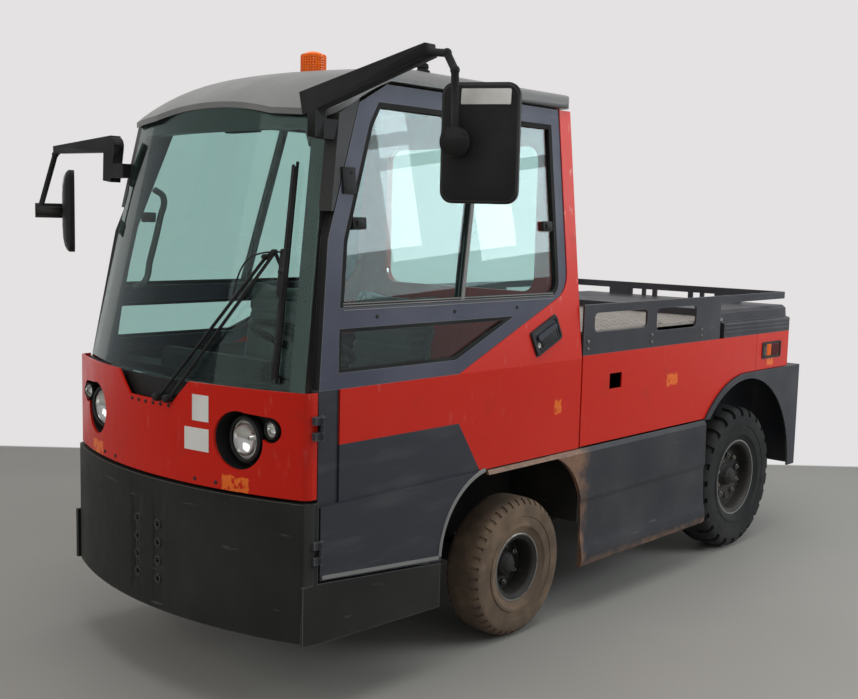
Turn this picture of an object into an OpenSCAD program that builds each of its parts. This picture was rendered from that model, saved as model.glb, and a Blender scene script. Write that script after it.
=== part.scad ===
// Electric tow tractor with a closed two-door cab and a railed load deck.
// X runs forward, Y to the left, Z up; the tyres stand on Z = 0.
// Lengths are in millimetres and angles in degrees.

/* [Overall] */
// Length from the bumper's face to the back of the rear mudguards
overall_l = 3570; // [3500:5:3650]
// Width over the bumper and the lower side panels
body_w = 1310; // [1270:5:1350]
// Distance between the axles
wheelbase = 1755; // [1740:5:1775]
// Distance from the bumper's face back to the front axle
front_overhang = 1239; // [1230:1:1250]
// Radius of the bowed front, seen from above
bow_r = 1660; // [1400:10:2200]
// Radius of the bumper's corners, seen from above
corner_r = 45; // [30:1:60]
// How far the lower panels stand proud of the upper ones
ledge = 10; // [6:1:14]

/* [Heights] */
// Underside of the chassis frame
frame_z = 250; // [240:1:262]
// Top of the chassis frame, on which floor and battery stand
frame_top_z = 380; // [370:1:390]
// Top of the bumper
bumper_top_z = 706; // [690:1:716]
// Line between the lower panels and the red body
sill_z = 690; // [680:1:700]
// Cab waist, where the sides start to lean inwards
waist_z = 1050; // [1035:1:1065]
// Top of the red rear body, on which the rails stand
body_top_z = 1060; // [1045:1:1070]
// Surface of the load deck
deck_z = 1155; // [1150:1:1165]
// Top edge of the deck rails
rail_top_z = 1262; // [1240:1:1290]
// Underside of the roof
roof_z = 2025; // [2010:1:2060]
// Crown of the roof
roof_crown_z = 2090; // [2085:1:2105]

/* [Cab] */
// Distance from the bumper's face back to the doors' front edge
door_setback = 188; // [182:1:196]
// Length of a door
door_l = 1390; // [1375:1:1405]
// Thickness of a door
door_t = 40; // [32:1:44]
// Inward lean of the cab sides above the waist
lean = 6; // [5:0.1:6.5]
// Backward rake of the windscreen
rake = 12.8; // [11.5:0.1:13.5]
// Thickness of the windows
glass_t = 6; // [4:0.5:8]
// Thickness of the cab floor plate
floor_t = 12; // [8:1:16]
// Thickness of the cab's rear wall
rear_wall_t = 38; // [30:1:42]
// Length of a seat cushion
seat_l = 400; // [370:5:420]
// Width of a seat
seat_w = 440; // [400:5:470]
// Diameter of the steering wheel
steering_d = 380; // [340:5:400]

/* [Front axle] */
// Diameter of the front tyres
front_d = 536; // [510:2:560]
// Width of the front tyres
front_w = 160; // [140:2:170]
// Diameter of the front rims
front_rim_d = 262; // [240:2:280]
// Distance between the outer faces of the tyres
track_out = 1260; // [1240:2:1270]
// Distance of a kingpin from the middle of its wheel
kingpin_offset = 95; // [88:1:100]
// Diameter of the kingpins
kingpin_d = 36; // [30:1:40]
// Diameter of the wheel spindles
spindle_d = 40; // [34:1:44]

/* [Rear axle] */
// Diameter of the rear tyres
rear_d = 702; // [680:2:720]
// Width of the rear tyres
rear_w = 190; // [180:2:200]
// Diameter of the rear rims
rear_rim_d = 370; // [350:2:390]
// Diameter of the rear axle tube
axle_d = 110; // [90:2:120]
// Radius of the rear wheel arch
rear_arch_r = 497; // [480:1:505]
// Width of the lip round the rear wheel arch
arch_lip = 28; // [20:1:34]

/* [Deck] */
// Thickness of the deck plates
deck_t = 12; // [6:1:16]
// Thickness of the rail plates
rail_t = 10; // [6:1:14]
// Height of the rails' top strip
rail_strip = 35; // [28:1:45]
// Length of the moulded rear cover
cover_l = 695; // [680:1:710]

/* [Lamps] */
// Distance of the headlamps from the middle
lamp_y = 404; // [395:1:412]
// Height of the headlamps
lamp_z = 880; // [868:1:890]
// Diameter of the headlamps
lamp_d = 150; // [140:1:160]

/* [Tow coupling] */
// Diameter of the coupling pin
tow_pin_d = 38; // [30:1:42]
// Height of a coupling mouth
tow_mouth = 60; // [50:1:70]
// Thickness of the coupling jaws
tow_jaw_t = 25; // [20:1:30]

/* [Hidden] */
$fn = 64;
// a length that reaches past the whole vehicle, for cutting
far = 6000;
// gap between faces that seat on each other, and running clearance of pins
seat_gap = 0.3;
run_gap = 0.05;
// the same between large curved faces
skin_gap = 0.9;

nose = overall_l / 2;
tail = -overall_l / 2;
hw = body_w / 2;
up_y = hw - ledge;
bow_c = nose - bow_r;
front_x = nose - front_overhang;
rear_x = front_x - wheelbase;

// chassis
rail_in = 200;
rail_out = 260;
plate_t = 12;
pad_x = nose - 95;
panel_t = 6;
side_in = up_y - panel_t;
bulk1_x = front_x - 370;
bulk2_x = rear_x + 409;
rear_face = tail + 130;
bulk3_x = rear_face + panel_t;
rear_rise = 140;
wheel_house_y = track_out / 2 - rear_w - 40;
deck_hw = up_y - rail_t - 1;

// bumper and front panel
bumper_t = 40;
wall_t = 12;
bumper_z = 262;
sill_front_z = 255;
sill_rear_z = 239;
skin_t = 8;
panel_gap = 10;
panel_z = bumper_top_z + panel_gap;
panel_top_z = waist_z - 3;
notch = [203, 123, 77];
hole_y = 58;
hole_z0 = 367;
hole_step = 62;
hole_d = 18;

// doors
door_front = nose - door_setback;
door_rear = door_front - door_l;
body_front = door_front + 9;
door_in = up_y - door_t;
cab_in = door_in - 7;
door_bottom_f = 457;
door_bottom_r = sill_z - 286;
door_top = roof_z - 10;
arch_front = front_x + 487;
arch_rear = front_x - 368;
arch_r = 285;
arch_z = sill_z - arch_r;
sill_l = arch_front - arch_rear - 2 * arch_r + 155;
hinge_x = door_front + 5;
hinge_r = 7;
hinge_y = hw + 2 + hinge_r;
hinge_pin_d = 8;
// each door hinge: its height and the face that carries it
HINGES = [[550, hw], [940, up_y]];
hinge_h = 24;
leaf_l = 26;

// window frame of a door, measured back from the door's front edge and up the slope
post_knee = [door_front - 72, 1512];
post_head = [door_front - 240, door_top - 70];
post_top = [door_front - 372, door_top];
post_w = 84;
frame_back = door_rear + 72;
frame_r = 110;
frame_slope = 22;
frame_foot = door_rear + 739;
frame_sink = 4;
frame_b = 52;
bar_low = 1236;
bar_high = 1300;
mullion_w = 20;

// windscreen and cab frame
screen_x = nose - 45;
screen_z = 1040;
screen_top = roof_z - 70;
screen_hw = cab_in;
pillar_d = 64;
pillar_w = 50;
header_h = 95;
roof_t = 20;
scuttle_z = panel_top_z - 52;
scuttle_t = 10;
apron_inset = 26;
cab_back = door_rear;
front_wall = body_front - 26;
floor_z = frame_top_z + floor_t;
step_x = front_x + 494;
bench_z = sill_z + 10;

// wheels
front_y = track_out / 2 - front_w / 2;
rear_y = track_out / 2 - rear_w / 2;
kingpin_y = front_y - kingpin_offset;
knuckle_h = 104;
fork_t = 26;
rim_sink = 32;

function lean_in(z) = max(0, z - waist_z) * tan(lean);
function bow_x(y, inset = 0) = bow_c + sqrt(pow(bow_r - inset, 2) - y * y);
function arc(c, r, a0, a1, n = 8) =
    [for (i = [0 : n]) c + r * [cos(a0 + (a1 - a0) * i / n), sin(a0 + (a1 - a0) * i / n)]];
function unit(v) = v / norm(v);

module both() {
    children();
    mirror([0, 1, 0]) children();
}

module slab(a, b) {
    translate(a) cube(b - a);
}

// a round bar between two points
module bar(p, q, d) {
    v = q - p;
    translate(p)
        rotate([0, acos(v[2] / norm(v)), atan2(v[1], v[0])])
            cylinder(d = d, h = norm(v), $fn = 32);
}

// a ball of the same size, for the bends between bars
module ball(p, d) {
    translate(p) sphere(d = d, $fn = 32);
}

// an outline in X and height, as a plate whose outer face lies at y
module side_wall(y, t) {
    translate([0, y, 0]) rotate([90, 0, 0]) linear_extrude(height = t) children();
}

// the cab side's line at a depth below its outer face: upright to the waist, then leaning inwards
function side_line(depth) = [[up_y - depth, 0], [up_y - depth, waist_z - depth * tan(lean / 2)],
    [up_y - depth / cos(lean) - (roof_z + 100 - waist_z) * tan(lean), roof_z + 100]];

// such an outline as a plate that follows the cab side, bent at the waist
module leaning(depth, t) {
    a = side_line(depth);
    b = side_line(depth + t);
    intersection() {
        cross_wall(-far / 2, far) polygon([a[0], a[1], a[2], b[2], b[1], b[0]]);
        side_wall(far / 4, far / 4) children();
    }
}

// an outline in Y and height, as a plate from x forward
module cross_wall(x, t) {
    translate([x, 0, 0]) rotate([90, 0, 90]) linear_extrude(height = t) children();
}

module rounded(a, b, r) {
    translate(a + [r, 0]) square(b - a - [2 * r, 0]);
    translate(a + [0, r]) square(b - a - [0, 2 * r]);
    for (x = [a[0] + r, b[0] - r])
        for (y = [a[1] + r, b[1] - r])
            translate([x, y]) circle(r);
}

// plan of the bowed front, drawn in by an inset, from x = back forward
module front_plan(inset, back) {
    w = hw - inset;
    r = max(6, corner_r - inset);
    cy = w - r;
    cx = bow_c + sqrt(pow(bow_r - inset - r, 2) - cy * cy);
    d = unit([cx - bow_c, cy]);
    difference() {
        intersection() {
            translate([bow_c, 0]) circle(bow_r - inset, $fn = 128);
            translate([back, -w]) square([nose - back, 2 * w]);
        }
        for (s = [0, 1])
            mirror([0, s])
                difference() {
                    polygon([[cx, cy], [cx, cy + 3 * r], [cx + 3 * r, cy + 3 * r], [cx, cy] + 3 * r * d]);
                    translate([cx, cy]) circle(r);
                }
    }
}

// the solid behind a raked glass surface that lies d in front of the screen
module raked(d) {
    translate([screen_x, 0, screen_z])
        rotate([0, -rake, 0])
            translate([d - bow_r, 0, -far / 2])
                cylinder(r = bow_r, h = far, $fn = 512);
}

// outline of the screen opening in Y and height, drawn in by d at the sides
module screen_outline(z0, z1, d, r) {
    zk = max(z0, waist_z);
    w0 = screen_hw - d - lean_in(zk);
    w1 = screen_hw - d - lean_in(z1);
    difference() {
        polygon([[-w0, z0], [w0, z0], [w0, zk], [w1, z1], [-w1, z1], [-w0, zk]]);
        for (s = [0, 1])
            mirror([s, 0])
                difference() {
                    translate([w1 - r, z1 - r]) square(far);
                    translate([w1 - r, z1 - r]) circle(r);
                }
    }
}

// door outlines
module door_plan() {
    polygon([[door_rear, sill_z], [door_front, sill_z], [door_front, waist_z], post_knee,
        post_head, post_top, [door_rear, door_top]]);
    difference() {
        polygon([[arch_front - arch_r + 40, sill_z + 1], [arch_front - 1, door_bottom_r],
            [door_front, door_bottom_f], [door_front, sill_z + 1]]);
        translate([arch_front - arch_r, arch_z]) circle(arch_r);
    }
}

// line of the frame's sloping lower edge, d above it
function slope_z(x, d = 0) = waist_z + (frame_foot - x) * tan(frame_slope) + d / cos(frame_slope);

module frame_plan() {
    ax = frame_back + frame_r * (1 - sin(frame_slope));
    az = slope_z(ax) + frame_r * cos(frame_slope);
    polygon(concat([[door_front, waist_z], post_knee, post_head, post_top, [frame_back, door_top]],
        arc([frame_back + frame_r, az], frame_r, 180, 270 - frame_slope), [[frame_foot, waist_z]]));
}

module upper_pane() {
    r = 62;
    top = door_top - 60;
    back = frame_back + frame_b;
    head = post_head - [40, 62];
    polygon(concat([[door_front - 105, bar_high], post_knee - [66, 0], head],
        [[head[0] - 48, top], [back, top]], arc([back + r, bar_high + r], r, 180, 270)));
}

module lower_pane() {
    z0 = waist_z + 50;
    d = 50;
    x0 = frame_foot + (d / cos(frame_slope) - 50) / tan(frame_slope);
    x1 = frame_foot + (d / cos(frame_slope) - (bar_low - waist_z)) / tan(frame_slope);
    polygon([[door_front - post_w, z0], [x0, z0], [x1, bar_low], [door_front - 98, bar_low]]);
}

module mullion() {
    x0 = door_rear + 690;
    polygon([[x0, bar_high - 1], [x0 + mullion_w, bar_high - 1],
        [x0 + mullion_w - 156, door_top - 59], [x0 - 156, door_top - 59]]);
}

// chassis

module frame_rail() {
    polygon([[pad_x, frame_z], [pad_x, frame_top_z], [bulk2_x, frame_top_z],
        [bulk2_x - 150, frame_top_z + rear_rise], [bulk3_x, frame_top_z + rear_rise],
        [bulk3_x, frame_z + rear_rise + 40], [bulk2_x - 200, frame_z + rear_rise + 40],
        [bulk2_x - 50, frame_z], [front_x - 156, frame_z], [front_x - 106, frame_z + 70],
        [front_x + 104, frame_z + 70], [front_x + 154, frame_z]]);
}

module chassis_frame() {
    color([0.13, 0.13, 0.14]) {
        both() side_wall(rail_out, rail_out - rail_in) frame_rail();
        for (x = [front_x + 760, front_x + 200, front_x - 300, bulk2_x + 60])
            slab([x, -rail_in, frame_z + 20], [x + 60, rail_in, frame_top_z]);
        for (x = [bulk1_x, bulk2_x]) {
            slab([x, -side_in, frame_top_z], [x + plate_t, side_in, body_top_z]);
            slab([x, -deck_hw, body_top_z - 1], [x + plate_t, deck_hw, deck_z - deck_t]);
        }
        slab([bulk3_x, -wheel_house_y, frame_z + 70], [bulk3_x + plate_t, wheel_house_y, body_top_z]);
        slab([bulk3_x, -side_in, rear_top() + 20], [bulk3_x + plate_t, side_in, body_top_z]);
    }
}

function rear_top() = rear_d / 2 + rear_arch_r + arch_lip;

module floor_profile() {
    t = floor_t;
    polygon([[bulk1_x + plate_t, bench_z], [step_x - t, bench_z], [step_x - t, frame_top_z],
        [front_wall + t, frame_top_z], [front_wall + t, scuttle_z], [front_wall, scuttle_z],
        [front_wall, floor_z], [step_x, floor_z], [step_x, bench_z + t],
        [bulk1_x + plate_t, bench_z + t]]);
}

module cab_floor() {
    color([0.16, 0.16, 0.17]) side_wall(cab_in, 2 * cab_in) floor_profile();
}

module front_bumper() {
    color([0.17, 0.18, 0.17])
        difference() {
            union() {
                translate([0, 0, bumper_z])
                    linear_extrude(height = bumper_top_z - bumper_z)
                        difference() {
                            front_plan(0, body_front);
                            difference() {
                                intersection() {
                                    front_plan(wall_t, body_front - 1);
                                    translate([bow_c, 0]) circle(bow_r - bumper_t, $fn = 128);
                                }
                                for (s = [-1, 1])
                                    translate([pad_x, s * (rail_in + rail_out) / 2 - 45]) square([200, 90]);
                            }
                        }
                both()
                    side_wall(hw, wall_t)
                        polygon([[arch_front, sill_rear_z], [body_front + 1, sill_front_z],
                            [body_front + 60, bumper_z], [body_front + 60, door_bottom_f - 8],
                            [door_front, door_bottom_f - 8], [arch_front, door_bottom_r - 8]]);
            }
            for (s = [-1, 1])
                for (i = [0 : 3])
                    translate([nose - 120, s * hole_y, hole_z0 + i * hole_step])
                        rotate([0, 90, 0])
                            cylinder(d = hole_d, h = 200);
        }
}

// lamp opening: a large round for the headlamp and a small one for the side lamp
module lamp_outline(d) {
    r1 = lamp_d / 2 + 18 + d;
    r2 = 40 + d;
    small = [lamp_y + 116, lamp_z + 44];
    translate([lamp_y, lamp_z]) circle(r1);
    translate(small) circle(r2);
    polygon([[lamp_y, lamp_z + r1 * 0.2], [lamp_y + r1 * 0.26, lamp_z + r1 * 0.966],
        small + r2 * [0.26, 0.966], small + [0, -r2 * 0.6]]);
}

module front_panel() {
    color([0.72, 0.11, 0.07])
        difference() {
            translate([0, 0, panel_z])
                linear_extrude(height = panel_top_z - panel_z)
                    difference() {
                        front_plan(ledge, body_front);
                        front_plan(ledge + skin_t, body_front - 1);
                    }
            cross_wall(nose - 200, 400)
                polygon([[-notch[0], panel_top_z + 1], [-notch[1], panel_top_z - notch[2]],
                    [notch[1], panel_top_z - notch[2]], [notch[0], panel_top_z + 1]]);
            both() cross_wall(nose - 260, 400) lamp_outline(0);
        }
}

pod_back = bow_x(lamp_y) - 84;

module lamp_pods() {
    color([0.05, 0.05, 0.05])
        intersection() {
            both() {
                difference() {
                    cross_wall(pod_back, 300) lamp_outline(6);
                    cross_wall(pod_back + 6, 300) lamp_outline(0);
                }
            }
            linear_extrude(height = waist_z) front_plan(ledge + skin_t + skin_gap, body_front);
        }
}

// a round lamp whose back sits at x = 0, with its lens towards +X
module round_lamp(d, h) {
    rotate([0, 90, 0])
        rotate_extrude()
            union() {
                polygon([[0, 0], [d * 0.36, 0], [d * 0.42, h * 0.3], [d / 2, h * 0.72], [d / 2, h],
                    [d * 0.43, h], [d * 0.43, h * 0.9], [0, h * 0.9]]);
                intersection() {
                    translate([0, h * 1.1 - d * 1.0]) circle(d * 1.0);
                    square([d * 0.415, h * 2]);
                }
            }
}

module headlamps() {
    color([0.9, 0.9, 0.88])
        both() {
            translate([pod_back + 6, lamp_y, lamp_z]) round_lamp(lamp_d, 44);
            translate([pod_back + 6, lamp_y + 116, lamp_z + 44]) round_lamp(58, 34);
        }
}

module scuttle() {
    color([0.06, 0.06, 0.06]) {
        translate([0, 0, scuttle_z])
            linear_extrude(height = scuttle_t) {
                difference() {
                    front_plan(ledge + skin_t + skin_gap, body_front + 2);
                    translate([nose - 200, -notch[0] - 12]) square([400, 2 * notch[0] + 24]);
                }
                front_plan(ledge + apron_inset, body_front + 2);
                translate([front_wall - 60, -cab_in])
                    square([body_front + 20 - front_wall + 60, 2 * cab_in]);
            }
        // upstand that carries the windscreen
        translate([0, 0, scuttle_z + 1])
            linear_extrude(height = screen_z - scuttle_z - 1)
                difference() {
                    front_plan(ledge + apron_inset, body_front + 2);
                    front_plan(ledge + apron_inset + 36, body_front);
                }
        // apron behind the notch of the front panel
        translate([0, 0, scuttle_z - 60])
            linear_extrude(height = 61)
                intersection() {
                    difference() {
                        front_plan(ledge + apron_inset, body_front + 2);
                        front_plan(ledge + apron_inset + 14, body_front);
                    }
                    translate([nose - 200, -285]) square([400, 570]);
                }
    }
}

// the wiper's two parallel arms, in Y and height on the screen
ARM_FOOT = [[58, 982], [110, 982]];
ARM_HEAD = [[410, 1452], [440, 1468]];
BLADE = [[512, 1082], [447, 1736]];
function on_screen(p, d) = [screen_x - (p[1] - screen_z) * tan(rake) - p[0] * p[0] / (2 * bow_r) + d, p[0], p[1]];

module wiper() {
    color([0.07, 0.07, 0.07]) {
        for (i = [0, 1]) {
            foot = on_screen(ARM_FOOT[i], 24);
            head = on_screen(ARM_HEAD[i], 24);
            bar([bow_x(foot[1] - 11, ledge + apron_inset) + skin_gap, foot[1], foot[2]], foot + [8, 0, 0], 22);
            bar(foot, head, 11);
            ball(head, 16);
        }
        bar(on_screen(ARM_HEAD[0], 24), on_screen(ARM_HEAD[1], 24), 14);
        bar(on_screen(ARM_HEAD[1], 24), on_screen((BLADE[0] + BLADE[1]) / 2, 20), 12);
        bar(on_screen(BLADE[0], 14), on_screen(BLADE[1], 14), 14);
    }
}

module cab_glass() {
    color([0.45, 0.6, 0.58, 0.35]) {
        intersection() {
            difference() {
                raked(0);
                raked(-glass_t);
            }
            cross_wall(front_x, far) screen_outline(screen_z, screen_top, 0, 60);
            roof_dome(screen_z - 20, roof_t + skin_gap);
        }
        cross_wall(cab_back + rear_wall_t / 2, glass_t) rear_opening();
    }
}

module rear_opening() {
    rounded([-420, waist_z + 250], [420, roof_z - 140], 60);
}

// space taken by a door with its clearance, across the whole width
module door_sweep(d) {
    translate([d, far / 2, 0])
        rotate([90, 0, 0])
            linear_extrude(height = far)
                polygon([[door_rear, 0], [door_front, 0], [door_front, waist_z], post_knee,
                    post_head, post_top, [door_rear, door_top + d]]);
}

module cab_frame() {
    color([0.08, 0.08, 0.09]) {
        // hoop behind the windscreen
        intersection() {
            difference() {
                raked(-glass_t - skin_gap);
                raked(-glass_t - pillar_d);
            }
            cross_wall(front_x, far)
                difference() {
                    screen_outline(screen_z, roof_z, 0, 40);
                    screen_outline(screen_z - 1, screen_top - header_h, pillar_w, 60);
                }
            roof_dome(screen_z - 20, roof_t + skin_gap);
        }
        // outer flanges of the front pillars, flush with the windscreen, up to the doors
        difference() {
            intersection() {
                difference() {
                    raked(0);
                    raked(-glass_t - pillar_d);
                }
                cross_wall(front_x, far)
                    difference() {
                        screen_outline(panel_top_z + seat_gap, roof_z - 2, cab_in - up_y + 4, 40);
                        screen_outline(screen_z - 1, roof_z + 99, -0.8, 1);
                    }
                roof_dome(screen_z - 20, roof_t + skin_gap);
            }
            door_sweep(12);
        }
        both()
            slab([cab_back + rear_wall_t, cab_in - lean_in(roof_z) - 50, roof_z - 45],
                [screen_x - 620, cab_in - lean_in(roof_z), roof_z]);
    }
}

module cab_rear_wall() {
    color([0.60, 0.10, 0.07])
        cross_wall(cab_back, rear_wall_t)
            difference() {
                polygon([[-cab_in, bench_z + floor_t], [cab_in, bench_z + floor_t], [cab_in, waist_z],
                    [cab_in - lean_in(roof_z), roof_z], [lean_in(roof_z) - cab_in, roof_z], [-cab_in, waist_z]]);
                rear_opening();
            }
}

// moulded roof: a dome of revolution, cut to the cab's plan and rounded at the back and the sides
visor_z = roof_z - 120;
roof_hw = up_y - lean_in(roof_z) + 14;
roof_back = cab_back - 12;
roof_front = screen_x - (visor_z - screen_z) * tan(rake) + 16;
roof_round = 60;
roof_edge = 40;

// the solid under the dome, lowered by d: flat in the middle, falling ever faster outwards
module roof_dome(bottom, d = 0) {
    flat = 850;
    run = 470;
    drop = 207;
    translate([door_rear + 93, 0, -d])
        rotate_extrude($fn = 400)
            polygon(concat([[0, bottom], [0, roof_crown_z]],
                [for (i = [0 : 12]) [flat + run * i / 12, roof_crown_z - drop * pow(i / 12, 2.13)]],
                [[flat + run, bottom]]));
}

module roof_plan() {
    r = 150;
    intersection() {
        translate([roof_front - bow_r, 0]) circle(bow_r, $fn = 128);
        union() {
            rounded([roof_back, -roof_hw], [front_x + 200, roof_hw], roof_round);
            rounded([front_x - 200, -roof_hw], [roof_front - 30, roof_hw], r);
        }
    }
}

module roof() {
    x0 = roof_back;
    z0 = visor_z - 150;
    side = arc([roof_hw - roof_edge, roof_z + 14], roof_edge, 0, 90);
    color([0.33, 0.32, 0.31])
        difference() {
            intersection() {
                roof_dome(z0);
                translate([0, 0, z0]) linear_extrude(height = far) roof_plan();
                side_wall(far / 2, far)
                    polygon(concat([[far / 2, z0], [x0, z0]],
                        arc([x0 + roof_round, roof_crown_z - roof_round], roof_round, 180, 90),
                        [[far / 2, roof_crown_z]]));
                cross_wall(-far / 2, far)
                    polygon(concat([[-roof_hw, z0], [roof_hw, z0]], side, [[roof_hw / 2, roof_crown_z]],
                        [[-roof_hw / 2, roof_crown_z]], [for (i = [8 : -1 : 0]) [-side[i][0], side[i][1]]]));
            }
            // over the windscreen the roof is a shell, behind it the underside is level
            intersection() {
                roof_dome(z0 - 50, roof_t);
                slab([-far / 2, -far / 2, 0], [far / 2, far / 2, roof_z]);
            }
        }
}

beacon_x = front_x + 520;

module beacon() {
    color([0.93, 0.45, 0.06])
        translate([beacon_x, 0, roof_crown_z])
            rotate_extrude()
                difference() {
                    union() {
                        square([52, 14]);
                        translate([0, 13]) square([46, 67]);
                        translate([0, 79]) intersection() {
                            translate([0, -60]) circle(74);
                            square([43, 40]);
                        }
                    }
                    for (z = [22 : 9 : 70]) translate([46, z]) circle(2.4);
                }
}

// one door leaf's share of a hinge
module hinge_brackets() {
    color([0.16, 0.16, 0.17])
        both()
            for (h = HINGES) {
                translate([hinge_x, hinge_y, h[0]]) {
                    for (s = [0, 1])
                        mirror([0, 0, s])
                            translate([0, 0, hinge_h / 2 + seat_gap])
                                cylinder(r = hinge_r, h = hinge_h);
                    translate([0, 0, -1.5 * hinge_h - 4])
                        cylinder(d = hinge_pin_d, h = 3 * hinge_h + 8);
                }
                for (s = [0, 1])
                    translate([0, 0, h[0]])
                        mirror([0, 0, s])
                            slab([hinge_x + 5, h[1], hinge_h / 2 + seat_gap],
                                [hinge_x + leaf_l, hinge_y - 1, 1.5 * hinge_h + seat_gap]);
            }
}

module hinge_eye(h) {
    translate([hinge_x, hinge_y, h[0] - hinge_h / 2])
        cylinder(r = hinge_r, h = hinge_h);
    slab([hinge_x - leaf_l, h[1] - 8, h[0] - hinge_h / 2], [hinge_x - 5, hinge_y - 1, h[0] + hinge_h / 2]);
    slab([hinge_x - 7, hinge_y - 4, h[0] - hinge_h / 2], [hinge_x, hinge_y + 2, h[0] + hinge_h / 2]);
}

module door_shell() {
    difference() {
        union() {
            leaning(0, door_t)
                difference() {
                    door_plan();
                    frame_plan();
                }
            // lower panel, proud by the ledge
            side_wall(hw, ledge + 1)
                intersection() {
                    door_plan();
                    polygon([[arch_front - arch_r, sill_z - 20], [arch_front, 0], [door_front, 0],
                        [door_front, sill_z], [arch_front - arch_r, sill_z]]);
                }
            // handle plate and its pull
            leaning(-5, 6)
                translate([door_rear + 230, waist_z + 105])
                    rotate(-frame_slope)
                        rounded([-88, -50], [88, 50], 14);
            leaning(-16, 12)
                translate([door_rear + 230, waist_z + 105])
                    rotate(-frame_slope)
                        rounded([-66, 4], [60, 26], 8);
            for (h = HINGES) hinge_eye(h);
        }
        // recessed strip behind the hinges
        side_wall(up_y + 1, 7)
            difference() {
                translate([door_front - post_w, sill_z + 2]) square([post_w + 1, waist_z - sill_z]);
                translate([door_front - leaf_l - 4, HINGES[1][0] - hinge_h / 2 - 1]) square([leaf_l + 5, hinge_h + 2]);
            }
        translate([hinge_x, hinge_y, 0]) cylinder(d = hinge_pin_d + 2 * run_gap, h = waist_z);
    }
}

module door_frame() {
    leaning(frame_sink, door_t - frame_sink)
        difference() {
            frame_plan();
            difference() {
                upper_pane();
                mullion();
            }
            lower_pane();
        }
}

module door_glass() {
    leaning(frame_sink + 12, glass_t) {
        difference() {
            upper_pane();
            mullion();
        }
        lower_pane();
    }
}

RED = [0.72, 0.11, 0.07];
FRAME_GREY = [0.33, 0.33, 0.39];
GLASS = [0.45, 0.6, 0.58, 0.35];

module door_shell_left() { color(RED) door_shell(); }
module door_frame_left() { color(FRAME_GREY) door_frame(); }
module door_glass_left() { color(GLASS) door_glass(); }
module door_shell_right() { color(RED) mirror([0, 1, 0]) door_shell(); }
module door_frame_right() { color(FRAME_GREY) mirror([0, 1, 0]) door_frame(); }
module door_glass_right() { color(GLASS) mirror([0, 1, 0]) door_glass(); }

mirror_w = 224;
mirror_h = 336;
mirror_t = 46;
mirror_y = 1130;
knuckle_t = 36;
stalk_d = 22;
arm_t = 44;
// columns: points along the stalk from the arm's end, head centre, turn, knuckle shift, stem, knuckle diameter
MIRRORS = [
    [[[screen_x - 215, 985, 2046], [screen_x - 210, 1068, 2036], [screen_x - 205, 1103, 1987]],
        [screen_x - 286, mirror_y, 1795], 28, -60, 0, 82],
    [[[screen_x - 236, -1020, 1824], [screen_x - 236, -1062, 1806]],
        [screen_x - 329, -mirror_y, 1581], -28, 0, 70, 60],
];
function mirror_n(m) = [cos(m[2]), sin(m[2]), 0];
function mirror_u(m) = [-sin(m[2]), cos(m[2]), 0];
function mirror_knuckle(m) =
    m[1] + mirror_n(m) * (mirror_t / 2 + seat_gap + m[4] + knuckle_t / 2) + mirror_u(m) * m[3];

// a tapered limb between two points of a drawing, with half its width at each
module limb(p, q, a, b) {
    n = [p[1] - q[1], q[0] - p[0]] / norm(q - p);
    polygon([p + a * n, q + b * n, q - b * n, p - a * n]);
}

// stalk that hangs from an arm's end, with the knuckle on the mirror's back
module mirror_stalk(m) {
    k = mirror_knuckle(m);
    path = m[0];
    last = len(path) - 1;
    for (j = [1 : last]) {
        bar(path[j - 1], path[j], stalk_d);
        ball(path[j], stalk_d + 5);
    }
    bar(path[last], k, stalk_d);
    bar(k - mirror_n(m) * (m[4] + knuckle_t / 2), k + mirror_n(m) * knuckle_t / 2, m[5]);
}

// left arm: a tapered box in front of the roof's visor, on a foot below it
module mirror_arm_left() {
    color([0.2, 0.2, 0.21]) {
        mirror_stalk(MIRRORS[0]);
        difference() {
            slab([screen_x - 340, 515, 1822], [screen_x - 228, 553, 1882]);
            raked(skin_gap);
        }
        cross_wall(screen_x - 237, arm_t) {
            limb([483, 1928], [1003, 2050], 36, 19);
            limb([534, 1940], [534, 1826], 20, 18);
        }
    }
}

// right arm: a channel that rises from its clamp and reaches outwards
module mirror_arm_right() {
    color([0.2, 0.2, 0.21]) {
        mirror_stalk(MIRRORS[1]);
        difference() {
            cross_wall(screen_x - 258, arm_t) {
                limb([-540, 1735], [-650, 1735], 26, 26);
                limb([-650, 1696], [-634, 1826], 26, 36);
                limb([-620, 1836], [-1040, 1824], 31, 14);
                translate([-632, 1830]) circle(34);
            }
            raked(skin_gap);
        }
    }
}

module mirror_heads() {
    color([0.16, 0.16, 0.17])
        for (m = MIRRORS)
            translate(m[1])
                rotate([0, 0, m[2]])
                    rotate([90, 0, 90])
                        translate([0, 0, -mirror_t / 2])
                            linear_extrude(height = mirror_t)
                                rounded([-mirror_w / 2, -mirror_h / 2], [mirror_w / 2, mirror_h / 2], 26);
}

// rear body

module rear_arch(d) {
    translate([rear_x, rear_d / 2]) circle(rear_arch_r + d, $fn = 96);
}

seam_x = rear_x - 91;

module side_panels() {
    color([0.74, 0.20, 0.15])
        both()
            side_wall(up_y, panel_t)
                difference() {
                    translate([seam_x, sill_z + 4]) square([door_rear - 9 - seam_x, body_top_z - sill_z - 4]);
                    rear_arch(arch_lip + 3);
                    translate([seam_x - 1, sill_z]) square([rear_x - seam_x + 1, rear_top() + 3 - sill_z]);
                    translate([door_rear - 296, body_top_z - 151]) square([91, 64]);
                }
}

module rear_body() {
    z0 = rear_top() + 3;
    color([0.72, 0.18, 0.13])
        difference() {
            slab([rear_face, -up_y, z0], [seam_x - 3, up_y, body_top_z]);
            slab([rear_face + panel_t, -side_in, z0 - 1], [seam_x, side_in, body_top_z + 1]);
            both() side_wall(hw, 40) lamp_slot(0);
        }
}

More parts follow.
